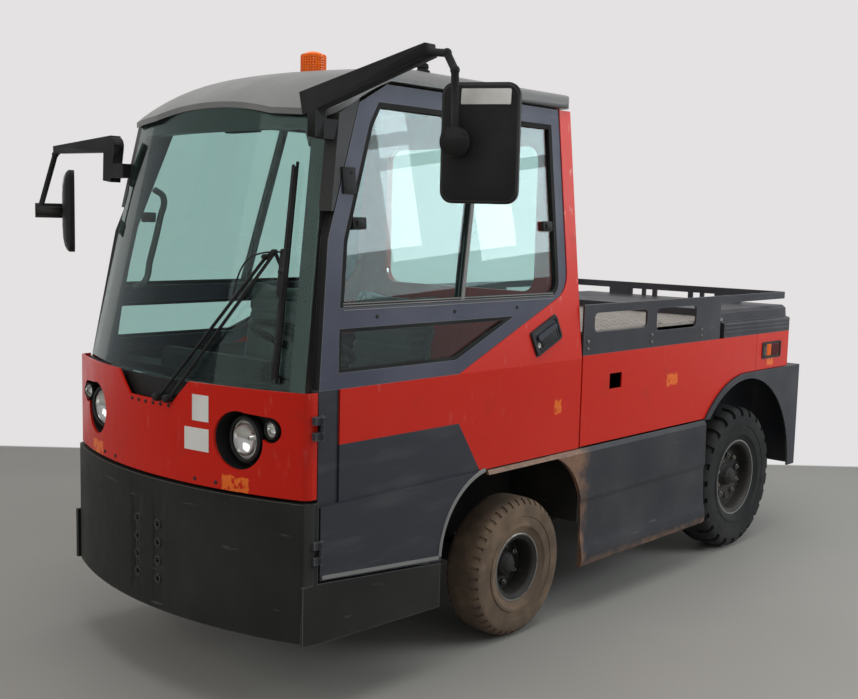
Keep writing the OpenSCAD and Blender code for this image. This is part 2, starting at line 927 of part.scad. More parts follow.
module lamp_slot(d) {
    z = body_top_z - 120;
    rounded([rear_face + 97 - d, z - d], [rear_face + 287 + d, z + 67 + d], 8);
}

module rear_lamps() {
    color([0.35, 0.06, 0.05])
        both() {
            side_wall(side_in, 34) lamp_slot(10);
            side_wall(up_y - 2, 5) lamp_slot(-3);
        }
}

module skirts() {
    z0 = 195;
    color([0.24, 0.24, 0.27])
        both()
            intersection() {
                side_wall(far / 4, far / 4) {
                    difference() {
                        polygon([[arch_rear + arch_r, sill_z - 4], [bulk2_x - 12, sill_z - 4],
                            [bulk2_x - 28, z0], [arch_rear, z0], [arch_rear, arch_z]]);
                        translate([arch_rear + arch_r, arch_z]) circle(arch_r, $fn = 240);
                    }
                    // strip that runs forward under the door, over the front wheel
                    translate([arch_rear + arch_r - 125, sill_z - 21]) square([sill_l, 16]);
                }
                cross_wall(-far / 2, far)
                    polygon([[side_in, sill_z], [up_y, sill_z], [hw, sill_z - 22], [hw, 480], [hw - 7, 458],
                        [hw - 6, 330], [hw - 2, 296], [hw + 5, 262], [hw + 8, 240], [hw + 8, 222],
                        [hw + 4, 204], [hw - 5, z0], [side_in, z0]]);
            }
}

// inner walls of the front wheel houses, between the bulkhead and the cab's step
module wheel_houses() {
    color([0.08, 0.08, 0.08])
        both()
            slab([bulk1_x + plate_t + seat_gap, rail_out + 15, frame_top_z],
                [step_x - floor_t - seat_gap, rail_out + 27, bench_z - seat_gap]);
}

module fender_plan() {
    difference() {
        union() {
            intersection() {
                rear_arch(arch_lip);
                translate([rear_x, sill_z]) square(far);
            }
            translate([tail, 345]) square([rear_x - tail, rear_top() - 345]);
        }
        rear_arch(0);
        translate([rear_x - far, -far]) square([far, far + 345]);
    }
}

module rear_fenders() {
    t = 8;
    color([0.20, 0.20, 0.22])
        both() {
            side_wall(hw, hw - up_y) fender_plan();
            difference() {
                side_wall(hw - 1, hw - 1 - wheel_house_y) fender_plan();
                side_wall(hw - ledge, far)
                    difference() {
                        union() {
                            intersection() {
                                rear_arch(arch_lip - t);
                                translate([rear_x, 0]) square(far);
                            }
                            translate([tail + t, 0]) square([rear_x - tail - t, rear_top() - t]);
                        }
                    }
            }
            side_wall(wheel_house_y + t, t)
                difference() {
                    union() {
                        intersection() {
                            rear_arch(arch_lip);
                            translate([rear_x, sill_z]) square([bulk2_x - rear_x, far]);
                        }
                        translate([tail, rear_d / 2 + 60]) square([rear_x - tail, rear_top() - rear_d / 2 - 60]);
                        translate([rear_x - 1, rear_d / 2 + 60])
                            square([bulk2_x - rear_x + 1, sill_z - rear_d / 2 - 59]);
                    }
                }
        }
}

// deck

rail_front = door_rear - 9;
rail_back = rear_face + 73;
plate_back = door_rear - 1122;
// openings in a side rail: from, to, bottom edge
RAIL_GAPS = [[door_rear - 82, door_rear - 478, 1150], [door_rear - 555, door_rear - 897, 1130]];
// posts of the rear rail: from, to
REAR_POSTS = [[97, 125], [168, 192], [255, 405]];

module rails() {
    strip_z = rail_top_z - rail_strip;
    color([0.30, 0.30, 0.33]) {
        both()
            side_wall(up_y, rail_t)
                difference() {
                    union() {
                        translate([plate_back, body_top_z])
                            square([rail_front - plate_back, rail_top_z - body_top_z]);
                        translate([rail_back, strip_z]) square([plate_back - rail_back + 1, rail_strip]);
                    }
                    for (g = RAIL_GAPS) rounded([g[1], g[2]], [g[0], strip_z], 22);
                }
        slab([rail_back, -up_y, strip_z], [rail_back + rail_t, up_y, rail_top_z]);
        both()
            for (p = REAR_POSTS)
                slab([rail_back, p[0], cover_top], [rail_back + rail_t, p[1], strip_z + 1]);
    }
}

cover_front = rear_face + cover_l;
cover_top = deck_z + 35;

module deck_plates() {
    mid = (rail_front + cover_front) / 2;
    w = deck_hw;
    color([0.62, 0.58, 0.54]) {
        slab([mid + 2, -w, deck_z - deck_t], [rail_front - 2, w, deck_z]);
        slab([cover_front + 3, -w, deck_z - deck_t], [mid - 2, w, deck_z]);
    }
}

// cross-section of the moulded cover, drawn in by d
module cover_section(d) {
    step = body_top_z + 75;
    polygon([[-up_y + d, body_top_z], [up_y - d, body_top_z], [up_y - d, step - 8], [up_y - 22 - d, step],
        [up_y - 26 - d, cover_top - 14 - d * 0.4], [up_y - 44 - d, cover_top - d],
        [-up_y + 44 + d, cover_top - d], [-up_y + 26 + d, cover_top - 14 - d * 0.4],
        [-up_y + 22 + d, step], [-up_y + d, step - 8]]);
}

module rear_cover() {
    t = 8;
    color([0.22, 0.22, 0.24])
        difference() {
            cross_wall(rear_face, cover_l) cover_section(0);
            translate([0, 0, -0.01]) cross_wall(rear_face + t, cover_l - 2 * t) cover_section(t);
        }
}

module battery() {
    color([0.28, 0.28, 0.30])
        slab([max(bulk2_x + plate_t + 8, cover_front + 20), -400, frame_top_z],
            [bulk1_x - 6, 400, deck_z - deck_t - 40]);
}

// axles and wheels

module rear_axle() {
    z = rear_d / 2;
    color([0.12, 0.12, 0.12]) {
        translate([rear_x, 0, z])
            rotate([90, 0, 0])
                cylinder(d = axle_d, h = 2 * (rear_y - 60), center = true);
        translate([rear_x, 0, z])
            rotate([90, 0, 0])
                cylinder(d = spindle_d + 20, h = 2 * (rear_y + 40), center = true);
        translate([rear_x, 0, z]) sphere(d = 2.2 * axle_d);
        both()
            slab([rear_x - 55, rail_in, z], [rear_x + 55, rail_out, frame_z + rear_rise + 40]);
    }
}

module front_axle() {
    z = front_d / 2;
    h = knuckle_h / 2;
    color([0.12, 0.12, 0.12])
        difference() {
            union() {
                slab([front_x - 45, -kingpin_y + 34, z - 35], [front_x + 45, kingpin_y - 34, z + 35]);
                both() {
                    slab([front_x - 45, rail_in, z + 30], [front_x + 45, rail_out, frame_z + 70]);
                    for (s = [-1, 1])
                        translate([front_x, kingpin_y, z + s * (h - fork_t / 2) - fork_t / 2])
                            cylinder(r = 32, h = fork_t);
                    for (s = [-1, 1])
                        slab([front_x - 32, kingpin_y - 80, z + s * (h - fork_t / 2) - fork_t / 2],
                            [front_x + 32, kingpin_y, z + s * (h - fork_t / 2) + fork_t / 2]);
                    slab([front_x - 32, kingpin_y - 80, z - h], [front_x + 32, kingpin_y - 46, z + h]);
                }
            }
            both()
                translate([front_x, kingpin_y, 0])
                    cylinder(d = kingpin_d + 2 * run_gap, h = far);
        }
}

module knuckle() {
    z = front_d / 2;
    h = knuckle_h / 2;
    translate([front_x, kingpin_y, z - h - 4]) cylinder(d = kingpin_d, h = knuckle_h + 8);
    translate([front_x, kingpin_y, z - h + fork_t + seat_gap])
        cylinder(r = 32, h = knuckle_h - 2 * fork_t - 2 * seat_gap);
    translate([front_x, kingpin_y, z])
        rotate([-90, 0, 0]) {
            cylinder(d = spindle_d, h = kingpin_offset + 44 - rim_sink);
            cylinder(d = 50, h = kingpin_offset - 30 - seat_gap);
        }
}

module knuckle_left() { color([0.14, 0.14, 0.14]) knuckle(); }
module knuckle_right() { color([0.14, 0.14, 0.14]) mirror([0, 1, 0]) knuckle(); }

// a disc wheel on the Y axis, outer side towards +Y, with its disc sunk inwards
module rim(rim_d, w, bore_d, sink) {
    r = rim_d / 2;
    b = w * 0.42;
    c = 6 - sink;
    e = 56 - sink;
    rotate([-90, 0, 0])
        rotate_extrude()
            polygon([[bore_d / 2 + run_gap, -30], [46, -30], [46, c], [r * 0.55, c + 8], [r - 26, c],
                [r - 26, -b + 8], [r - 6, -b], [r, -b], [r, -b + 8], [r - 14, -b + 14], [r - 14, b - 14],
                [r, b - 8], [r, b], [r - 6, b], [r - 24, b - 10], [r - 26, c + 12], [r * 0.55, c + 20],
                [46, c + 12], [46, e - 10], [36, e], [bore_d / 2 + run_gap, e]]);
}

module tyre(d, w, rim_d) {
    r = d / 2;
    s = 26;
    rotate([-90, 0, 0])
        rotate_extrude()
            difference() {
                union() {
                    polygon([[rim_d / 2 - 13.5, -w * 0.42 + 14.5], [rim_d / 2 + 0.5, -w * 0.42 + 8.5],
                        [rim_d / 2 + 0.5, -w * 0.42],
                        [rim_d / 2 + 26, -w / 2 + 4], [r - s, -w / 2], [r - s, w / 2],
                        [rim_d / 2 + 26, w / 2 - 4], [rim_d / 2 + 0.5, w * 0.42], [rim_d / 2 + 0.5, w * 0.42 - 8.5],
                        [rim_d / 2 - 13.5, w * 0.42 - 14.5]]);
                    translate([r - 2 * s, -w / 2 + s]) square([2 * s, w - 2 * s]);
                    for (y = [-1, 1]) translate([r - s, y * (w / 2 - s)]) circle(s);
                }
            }
}

BLACK = [0.10, 0.10, 0.10];
module at_front() { translate([front_x, front_y, front_d / 2]) children(); }
module at_rear() { translate([rear_x, rear_y, rear_d / 2]) children(); }

module front_rim() { at_front() rim(front_rim_d, front_w, spindle_d, rim_sink); }
module rear_rim() { at_rear() rim(rear_rim_d, rear_w, spindle_d + 20, 0); }
module rim_front_left() { color([0.15, 0.14, 0.13]) front_rim(); }
module rim_front_right() { color([0.15, 0.14, 0.13]) mirror([0, 1, 0]) front_rim(); }
module tyre_front_left() { color([0.32, 0.27, 0.22]) at_front() tyre(front_d, front_w, front_rim_d); }
module tyre_front_right() { color([0.32, 0.27, 0.22]) mirror([0, 1, 0]) at_front() tyre(front_d, front_w, front_rim_d); }
module rim_rear_left() { color([0.15, 0.14, 0.13]) rear_rim(); }
module rim_rear_right() { color([0.15, 0.14, 0.13]) mirror([0, 1, 0]) rear_rim(); }
module tyre_rear_left() { color(BLACK) at_rear() tyre(rear_d, rear_w, rear_rim_d); }
module tyre_rear_right() { color(BLACK) mirror([0, 1, 0]) at_rear() tyre(rear_d, rear_w, rear_rim_d); }

// tow coupling

tow_z = 330;
tow_x = tail + 62;

module coupling() {
    pitch = tow_mouth + tow_jaw_t;
    color([0.14, 0.14, 0.15])
        difference() {
            union() {
                slab([bulk3_x - 16, -110, tow_z - 10], [bulk3_x, 110, tow_z + 2 * pitch + tow_jaw_t + 10]);
                for (i = [0 : 2])
                    translate([0, 0, tow_z + i * pitch])
                        linear_extrude(height = tow_jaw_t)
                            union() {
                                translate([tow_x, 0]) circle(58);
                                polygon([[tow_x, -58], [tow_x, 58], [bulk3_x - 10, 95], [bulk3_x - 10, -95]]);
                            }
            }
            translate([tow_x, 0, tow_z - 1]) cylinder(d = tow_pin_d + 2 * run_gap, h = far);
        }
}

module coupling_pin() {
    top = tow_z + 2 * (tow_mouth + tow_jaw_t) + tow_jaw_t;
    color([0.45, 0.44, 0.42]) {
        translate([tow_x, 0, tow_z - 6]) cylinder(d = tow_pin_d, h = top - tow_z + 30);
        translate([tow_x, 0, top + seat_gap]) cylinder(d = tow_pin_d + 22, h = 10);
        translate([tow_x, 0, top + 60])
            rotate([90, 0, 0])
                rotate_extrude() translate([34, 0]) circle(6);
    }
}

// inside the cab

seat_x = step_x - 125;
seat_y = 310;

module seat_base() {
    z = bench_z + floor_t;
    color([0.12, 0.12, 0.12])
        both()
            slab([seat_x - 60, seat_y - seat_w / 2 + 40, z], [step_x - 4, seat_y + seat_w / 2 - 40, z + 110]);
}

module seat_cushions() {
    z = bench_z + floor_t + 110 + seat_gap;
    color([0.36, 0.37, 0.38])
        both() {
            translate([seat_x, seat_y - seat_w / 2, z]) cube([seat_l, seat_w, 110]);
            side_wall(seat_y + seat_w / 2, seat_w)
                translate([seat_x, z + 110 + seat_gap])
                    polygon([[0, 0], [115, 0], [45, 400], [-50, 400]]);
        }
}

module dashboard() {
    w = cab_in - 24;
    x = front_wall;
    z = scuttle_z;
    color([0.10, 0.10, 0.11]) {
        side_wall(w, 2 * w)
            polygon([[x, z - 260], [x, z - seat_gap], [x - 62, z - seat_gap], [x - 62, z + 30], [x - 110, z + 44],
                [x - 170, z + 16], [x - 170, z - 40], [x - 90, z - 150], [x - 60, z - 260]]);
        // instrument hood beside the steering column
        side_wall(seat_y - 45, 2 * seat_y - 45)
            polygon([[x - 64, z + 24], [x - 68, z + 82], [x - 92, z + 102], [x - 130, z + 98], [x - 156, z + 64],
                [x - 150, z + 20]]);
    }
}

module steering_wheel() {
    // the column stands square on the dashboard's sloping top
    foot = [front_wall - 140, seat_y, scuttle_z + 30];
    tip = atan2(28, 60);
    color([0.08, 0.08, 0.08])
        translate(foot)
            rotate([0, -tip, 0]) {
                translate([0, 0, seat_gap]) cylinder(d = 60, h = 150);
                translate([0, 0, 150]) {
                    rotate_extrude() translate([steering_d / 2 - 14, 0]) circle(14);
                    cylinder(d = 90, h = 30, center = true);
                    for (a = [0, 120, 240])
                        rotate([0, 0, a])
                            translate([0, -14, -6]) cube([steering_d / 2 - 16, 28, 12]);
                }
            }
}

module cab_fittings() {
    x = screen_x - 420;
    color([0.10, 0.10, 0.10]) {
        slab([x - 30, -190, roof_z - 150], [x, -20, roof_z - 80]);
        bar([x - 15, -105, roof_z - 90], [x - 15, -105, roof_z - seat_gap], 14);
    }
}

chassis_frame();
cab_floor();
front_bumper();
front_panel();
lamp_pods();
headlamps();
scuttle();
wiper();
cab_glass();
cab_frame();
cab_rear_wall();
roof();
beacon();
hinge_brackets();
door_shell_left();
door_frame_left();
door_glass_left();
door_shell_right();
door_frame_right();
door_glass_right();
mirror_arm_left();
mirror_arm_right();
mirror_heads();
side_panels();
rear_body();
rear_lamps();
skirts();
wheel_houses();
rear_fenders();
rails();
deck_plates();
rear_cover();
battery();
rear_axle();
front_axle();
knuckle_left();
knuckle_right();
rim_front_left();
tyre_front_left();
rim_front_right();
tyre_front_right();
rim_rear_left();
tyre_rear_left();
rim_rear_right();
tyre_rear_right();
coupling();
coupling_pin();
seat_base();
seat_cushions();
dashboard();
steering_wheel();
cab_fittings();
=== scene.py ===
# %% [markdown]
# # An electric tow tractor, dressed for a studio picture
# The solids of the tractor come from the CAD frame and stay where they are. This script adds what
# CAD leaves out: paint and wear, glass, tread, cushions, seals and small fittings. Every length is
# in metres, X runs forward, Y to the tractor's left and Z up.

# %% Load the frame
import bpy
import bmesh
import math
from math import cos, pi, radians, sin, sqrt, tan
from mathutils import Matrix, Vector


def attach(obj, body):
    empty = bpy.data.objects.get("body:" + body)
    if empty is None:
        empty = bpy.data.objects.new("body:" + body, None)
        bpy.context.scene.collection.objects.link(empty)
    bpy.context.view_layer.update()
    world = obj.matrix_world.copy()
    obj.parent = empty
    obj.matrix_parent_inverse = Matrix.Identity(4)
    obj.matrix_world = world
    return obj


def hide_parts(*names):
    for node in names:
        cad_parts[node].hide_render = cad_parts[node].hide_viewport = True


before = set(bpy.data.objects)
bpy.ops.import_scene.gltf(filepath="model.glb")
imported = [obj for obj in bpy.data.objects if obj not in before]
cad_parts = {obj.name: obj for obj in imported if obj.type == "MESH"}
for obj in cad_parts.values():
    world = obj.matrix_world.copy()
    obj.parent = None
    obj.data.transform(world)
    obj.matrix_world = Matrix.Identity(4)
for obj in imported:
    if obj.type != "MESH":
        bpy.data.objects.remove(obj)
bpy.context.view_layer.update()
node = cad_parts
scene = bpy.context.scene

# %% [markdown]
# ## Camera
# The lens and the stand point were fitted to the wheels and body lines of the photograph. A camera
# can be aimed with a Track To constraint, but a fitted view also has a slight roll, so the three axes
# of the camera are worked out here and written into its matrix.

# %% Camera
def put(name, data):
    """A new object in the scene, at the origin."""
    made = bpy.data.objects.new(name, data)
    scene.collection.objects.link(made)
    return made


CAMERA_AT = Vector((3.9005, 3.179, 1.578))
YAW, PITCH, ROLL = radians(222.222), radians(-6.511), radians(1.403)
FOCAL_PIXELS, PICTURE_WIDTH, SENSOR = 1129.854, 858, 36.0

look = Vector((cos(YAW) * cos(PITCH), sin(YAW) * cos(PITCH), sin(PITCH)))
level_right = look.cross(Vector((0, 0, 1))).normalized()
level_up = level_right.cross(look)
right = level_right * cos(ROLL) + level_up * sin(ROLL)
up = level_up * cos(ROLL) - level_right * sin(ROLL)
camera_data = bpy.data.cameras.new("camera")
camera_data.sensor_fit = "HORIZONTAL"
camera_data.sensor_width = SENSOR
camera_data.lens = FOCAL_PIXELS / PICTURE_WIDTH * SENSOR
camera_data.clip_end = 100
camera = put("camera", camera_data)
camera.matrix_world = Matrix.Translation(CAMERA_AT) @ Matrix((right, up, -look)).transposed().to_4x4()
scene.camera = camera
print("lens", round(camera_data.lens, 2), "mm")

# %% [markdown]
# ## Finishes
# A finish is one Principled shader with a few pattern nodes in front of it. Wiring nodes by hand
# takes many lines, so the class below has one short call for each pattern that the tractor needs:
# noise, smooth steps, boxes and slanted bands to mask painted zones, and a bump.
# All patterns read Object coordinates, which are the tractor's own metres.

# %% Finish helper
def srgb(red, green, blue):
    """A colour given as 0 to 255, as the linear values that shaders use."""
    def linear(value):
        value /= 255
        return value / 12.92 if value <= 0.04045 else ((value + 0.055) / 1.055) ** 2.4
    return (linear(red), linear(green), linear(blue), 1.0)


class Finish:
    """A procedural finish: one Principled shader and the patterns that feed it."""

    def __init__(self, name, rough=0.5, metal=0.0, **sockets):
        self.material = bpy.data.materials.new(name)
        self.material.use_nodes = True
        self.nodes = self.material.node_tree.nodes
        self.links = self.material.node_tree.links
        self.shader = self.nodes["Principled BSDF"]
        self.shader.inputs["Roughness"].default_value = rough
        self.shader.inputs["Metallic"].default_value = metal
        for socket, value in sockets.items():
            self.shader.inputs[socket.replace("_", " ")].default_value = value
        self.place = self.add("TexCoord").outputs["Object"]
        self.normal = None

    def add(self, kind, **values):
        """A new node; a value with a socket's name goes into that socket, any other is an option."""
        made = self.nodes.new("ShaderNode" + kind)
        for key, value in values.items():
            socket = key.replace("_", " ")
            if socket in made.inputs:
                self.feed(value, made.inputs[socket])
            else:
                setattr(made, key, value)
        return made

    def feed(self, value, socket):
        if isinstance(value, bpy.types.NodeSocket):
            self.links.new(value, socket)
        else:
            socket.default_value = value

    def maths(self, operation, a, b=0.0, clamp=False):
        made = self.add("Math", operation=operation, use_clamp=clamp)
        self.feed(a, made.inputs[0])
        self.feed(b, made.inputs[1])
        return made.outputs[0]

    def part(self, mask, share):
        return self.maths("MULTIPLY", mask, share)

    def fold(self, operation, first, *others):
        for other in others:
            first = self.maths(operation, first, other)
        return first

    def every(self, *masks):
        """The product of masks: 1 only where all of them are 1."""
        return self.fold("MULTIPLY", *masks)

    def either(self, *masks):
        return self.fold("MAXIMUM", *masks)

    def noise(self, scale, detail=4.0, stretch=(1, 1, 1), rough=0.55):
        place = self.add("Mapping", Vector=self.place, Scale=stretch).outputs[0]
        made = self.add("TexNoise", Vector=place, Scale=scale, Detail=detail, Roughness=rough)
        return made.outputs["Fac"]

    def step(self, value, low, high):
        """Goes smoothly from 0 at low to 1 at high; low may be the larger one."""
        falls = low > high
        made = self.add("MapRange", interpolation_type="SMOOTHSTEP", Value=value,
                        From_Min=min(low, high), From_Max=max(low, high),
                        To_Min=float(falls), To_Max=float(not falls))
        return made.outputs[0]

    def along(self, direction, wobble=None):
        """Distance along a direction, with a wobble to fray the edges of masks."""
        made = self.add("VectorMath", operation="DOT_PRODUCT")
        self.links.new(self.place, made.inputs[0])
        made.inputs[1].default_value = direction
        if wobble is None:
            return made.outputs["Value"]
        return self.maths("ADD", made.outputs["Value"], wobble)

    def band(self, direction, low, high, soft=0.002, wobble=None):
        way = self.along(direction, wobble)
        return self.every(self.step(way, low - soft, low + soft),
                          self.step(way, high + soft, high - soft))

    def below(self, height, soft=0.002):
        return self.step(self.along((0, 0, 1)), height + soft, height - soft)

    def zone(self, low, high, soft=0.002, wobble=None):
        """A box between two corners; None leaves that side of it open."""
        masks = []
        for axis in range(3):
            direction = [0, 0, 0]
            direction[axis] = 1
            way = self.along(direction, wobble)
            if low[axis] is not None:
                masks.append(self.step(way, low[axis] - soft, low[axis] + soft))
            if high[axis] is not None:
                masks.append(self.step(way, high[axis] + soft, high[axis] - soft))
        return self.every(*masks)

    def fray(self, amount, scale=25):
        return self.part(self.maths("SUBTRACT", self.noise(scale, 5), 0.5), amount)

    def mix(self, factor, a, b, kind="RGBA", first=6, out=2):
        """Two colours mixed by a factor; first and out say where that kind's sockets begin."""
        made = self.add("Mix", data_type=kind)
        for value, socket in ((factor, 0), (a, first), (b, first + 1)):
            self.feed(value, made.inputs[socket])
        return made.outputs[out]

    def blend(self, factor, a, b):
        return self.mix(factor, a, b, "FLOAT", 2, 0)

    def facing(self, axis):
        """How far the surface faces along an axis of the tractor, from -1 to 1."""
        normal = self.add("NewGeometry").outputs["True Normal"]
        return self.add("SeparateXYZ", Vector=normal).outputs[axis]

    def edges(self, radius=0.004):
        """1 on sharp edges: there the rounded normal leaves the flat one."""
        soft = self.add("Bevel", samples=4, Radius=radius)
        dot = self.add("VectorMath", operation="DOT_PRODUCT")
        self.links.new(soft.outputs[0], dot.inputs[0])
        self.links.new(self.add("NewGeometry").outputs["Normal"], dot.inputs[1])
        return self.step(dot.outputs["Value"], 0.995, 0.90)

    def relief(self, height, distance=0.001, strength=1.0):
        made = self.add("Bump", Strength=strength, Distance=distance, Height=height)
        if self.normal is not None:
            self.links.new(self.normal, made.inputs["Normal"])
        self.normal = made.outputs[0]
        return self

    def done(self, colour, rough=None):
        self.feed(colour, self.shader.inputs["Base Color"])
        if rough is not None:
            self.feed(rough, self.shader.inputs["Roughness"])
        if self.normal is not None:
            self.links.new(self.normal, self.shader.inputs["Normal"])
        return self.material


print("finish helper ready")

# %% [markdown]
# ## Stage and light
# A pale floor runs up into a pale wall on a wide curve. The paint of the wall already starts on the
# floor, at the line where the photograph's wall stands, so no wall blocks the views from behind. Six
# soft panes stand at the left rear as a window would, where the door glass mirrors them to the camera.
# Three soft boxes light the side, the front and the top; they are hidden from mirror rays, because
# their edges would show in the glass.

# %% Stage
STAGE_FRONT, STAGE_BACK, STAGE_SIDE, STAGE_TOP = -9.0, 9.0, 14.0, 9.0
SWEEP, SWEEP_PARTS, WALL_LINE, FLOOR_DROP = 1.2, 12, 2.44, 0.001
PALE = srgb(228, 226, 226)


def only(kind, items):
    """The vertices or the faces among all that an operator returns."""
    return [item for item in items if isinstance(item, kind)]


def shaded_mesh(name, bm):
    """Makes a bmesh a mesh with its faces turned outwards and shaded smooth."""
    bmesh.ops.recalc_face_normals(bm, faces=bm.faces[:])
    mesh = bpy.data.meshes.new(name)
    bm.to_mesh(mesh)
    bm.free()
    for face in mesh.polygons:
        face.use_smooth = True
    return mesh


def sweep_floor():
    """Floor and wall as one profile, turned into the direction that the camera looks."""
    bm = bmesh.new()
    profile = [(STAGE_FRONT, 0.0), (STAGE_BACK - SWEEP, 0.0)]
    for i in range(1, SWEEP_PARTS + 1):
        angle = i / SWEEP_PARTS * pi / 2
        profile.append((STAGE_BACK - SWEEP + SWEEP * sin(angle), SWEEP - SWEEP * cos(angle)))
    profile.append((STAGE_BACK, STAGE_TOP))
    points = [bm.verts.new((x, -STAGE_SIDE, z)) for x, z in profile]
    edges = [bm.edges.new(pair) for pair in zip(points, points[1:])]
    grown = bmesh.ops.extrude_edge_only(bm, edges=edges)["geom"]
    bmesh.ops.translate(bm, verts=only(bmesh.types.BMVert, grown), vec=(0, 2 * STAGE_SIDE, 0))
    bmesh.ops.rotate(bm, verts=bm.verts[:], cent=(0, 0, 0), matrix=Matrix.Rotation(YAW, 3, "Z"))
    bmesh.ops.translate(bm, verts=bm.verts[:], vec=(0, 0, -FLOOR_DROP))
    return put("floor", shaded_mesh("floor", bm))


ground = Finish("pale_floor", rough=0.7)
distance = ground.along((cos(YAW), sin(YAW), 0))
behind = ground.step(distance, WALL_LINE, WALL_LINE + 0.06)
concrete = ground.mix(ground.noise(0.8, 6), srgb(132, 130, 124), srgb(146, 143, 137))
ground.done(ground.mix(behind, concrete, PALE))
# the wall is plain to the lens, to mirrors and through glass, whatever light falls on it
rays = ground.add("LightPath").outputs
seen = ground.either(rays["Is Camera Ray"], rays["Is Glossy Ray"], rays["Is Transmission Ray"])
pale = ground.add("Emission", Color=PALE)
wall = ground.add("MixShader")
ground.links.new(ground.every(seen, behind), wall.inputs[0])
ground.links.new(ground.shader.outputs[0], wall.inputs[1])
ground.links.new(pale.outputs[0], wall.inputs[2])
ground.links.new(wall.outputs[0], ground.nodes["Material Output"].inputs["Surface"])
floor = sweep_floor()
floor.data.materials.append(ground.material)
print("floor faces:", len(floor.data.polygons))

# %% Light
def soft_box(name, at, aim, width, height, watts, colour=(1, 1, 1)):
    data = bpy.data.lights.new(name, "AREA")
    data.shape = "RECTANGLE"
    data.size, data.size_y = width, height
    data.energy = watts
    data.color = colour
    lamp = put(name, data)
    lamp.location = at
    lamp.rotation_euler = (Vector(aim) - Vector(at)).to_track_quat("-Z", "Y").to_euler()
    return lamp


DAYLIGHT, WARM = (0.84, 0.94, 1.0), (1.0, 0.98, 0.95)
PANE_WIDTH, PANE_HEIGHT, PANE_WATTS = 1.12, 0.82, 11
for column in range(3):
    for row in range(2):
        at = (-5.0 + 1.25 * column, 4.6, 2.55 + 0.95 * row)
        aim = (0.2 + column, 0.6, 1.2 + 0.6 * row)
        soft_box(f"window_light_{column}{row}", at, aim, PANE_WIDTH, PANE_HEIGHT, PANE_WATTS, DAYLIGHT)
for lamp in (soft_box("side_light", (-3.6, 4.8, 3.0), (0.4, 0.6, 1.0), 4.2, 2.4, 140, DAYLIGHT),
             soft_box("top_light", (0.5, 0.6, 5.2), (0.3, 0.0, 0.8), 5.0, 4.0, 200),
             soft_box("front_light", (6.0, -1.2, 3.0), (1.2, 0.0, 0.8), 3.0, 2.4, 80, WARM)):
    lamp.visible_glossy = False
world = bpy.data.worlds.new("studio")
world.use_nodes = True
world.node_tree.nodes["Background"].inputs["Color"].default_value = (0.95, 0.97, 1.0, 1)
world.node_tree.nodes["Background"].inputs["Strength"].default_value = 0.45
scene.world = world
scene.view_settings.view_transform = "Standard"

# %% [markdown]
# ## Paint
# The body is sprayed red and scuffed, with painted light that makes its sides a lighter red, more so
# higher up; the lower panels, skirts, mudguards and rails are dark grey. Remains of old stickers show as
# orange patches. The doors carry both colours, divided by a slanted line. The zones could be painted
# images, but masks worked out from the tractor's own coordinates stay sharp at any distance, so one
# function makes the red finish and takes such masks.

# %% Paint finishes
# the second red is painted light: the lit sides of the body turn a lighter red
RED, RED_LIT_SIDE, SCUFF = srgb(190, 22, 0), srgb(208, 44, 26), srgb(210, 140, 130)
DARK, DARK_DUST = srgb(48, 50, 56), srgb(74, 73, 74)
STICKER_REST = srgb(224, 104, 32)
# the side breaks at the waist and leans in above it; the dark field of the door ends on a slanted line
WAIST, LEAN, FIELD_SLANT = 1.05, radians(6), radians(56.5)
HANDLE_X, HANDLE_Z, HANDLE_TILT = 0.437, 1.155, radians(22)
# corners of the patches that old stickers left on the red paint
STICKER_PATCHES = [
    ((1.6, 0.344, 0.716), (1.8, 0.448, 0.764)), ((1.6, -0.448, 0.716), (1.8, -0.344, 0.764)),
    ((0.335, 0.6, 0.845), (0.378, 0.7, 0.902)), ((-0.545, 0.6, 0.878), (-0.455, 0.7, 0.930)),
    ((-1.492, 0.6, 0.896), (-1.425, 0.7, 0.946)),
]


def red_finish(name, dark_zones=None):
    paint = Finish(name, rough=0.36, Coat_Weight=0.06, Coat_Roughness=0.2, Specular_IOR_Level=0.3)
    tone = paint.noise(2.2, 5)
    high = paint.step(paint.along((0, 0, 1)), 0.95, 1.5)
    # painted light: faces that look sideways get the lighter red, blotchy and stronger higher up
    side = paint.step(paint.maths("ABSOLUTE", paint.facing(1)), 0.6, 0.9)
    lit_side = paint.every(side, paint.maths("ADD", paint.part(tone, 0.6), paint.part(high, 0.5), clamp=True))
    colour = paint.mix(lit_side, RED, RED_LIT_SIDE)
    specks = paint.step(paint.noise(34, 8, (1, 1, 0.35)), 0.60, 0.72)
    colour = paint.mix(paint.every(specks, paint.blend(high, 0.10, 0.75)), colour, SCUFF)
    fray = paint.fray(0.03, 60)
    torn = paint.step(paint.noise(45, 3), 0.38, 0.44)
    patch = paint.either(*[paint.zone(low, high, 0.002, fray) for low, high in STICKER_PATCHES])
    colour = paint.mix(paint.every(patch, torn), colour, STICKER_REST)
    grime = paint.step(paint.noise(9, 6), 0.55, 0.8)
    colour = paint.mix(paint.part(grime, 0.22), colour, srgb(120, 44, 34))
    rough = paint.blend(paint.noise(14, 5), 0.22, 0.46)
    if dark_zones:
        dark = dark_zones(paint)
        streak = paint.step(paint.noise(10, 7, (0.4, 1, 2.0)), 0.45, 0.75)
        shade = paint.mix(paint.part(streak, 0.5), DARK, DARK_DUST)
        colour = paint.mix(dark, colour, shade)
        rough = paint.blend(dark, rough, 0.48)
    paint.relief(paint.noise(420, 2), 0.0004, 0.12)
    return paint.done(colour, rough)


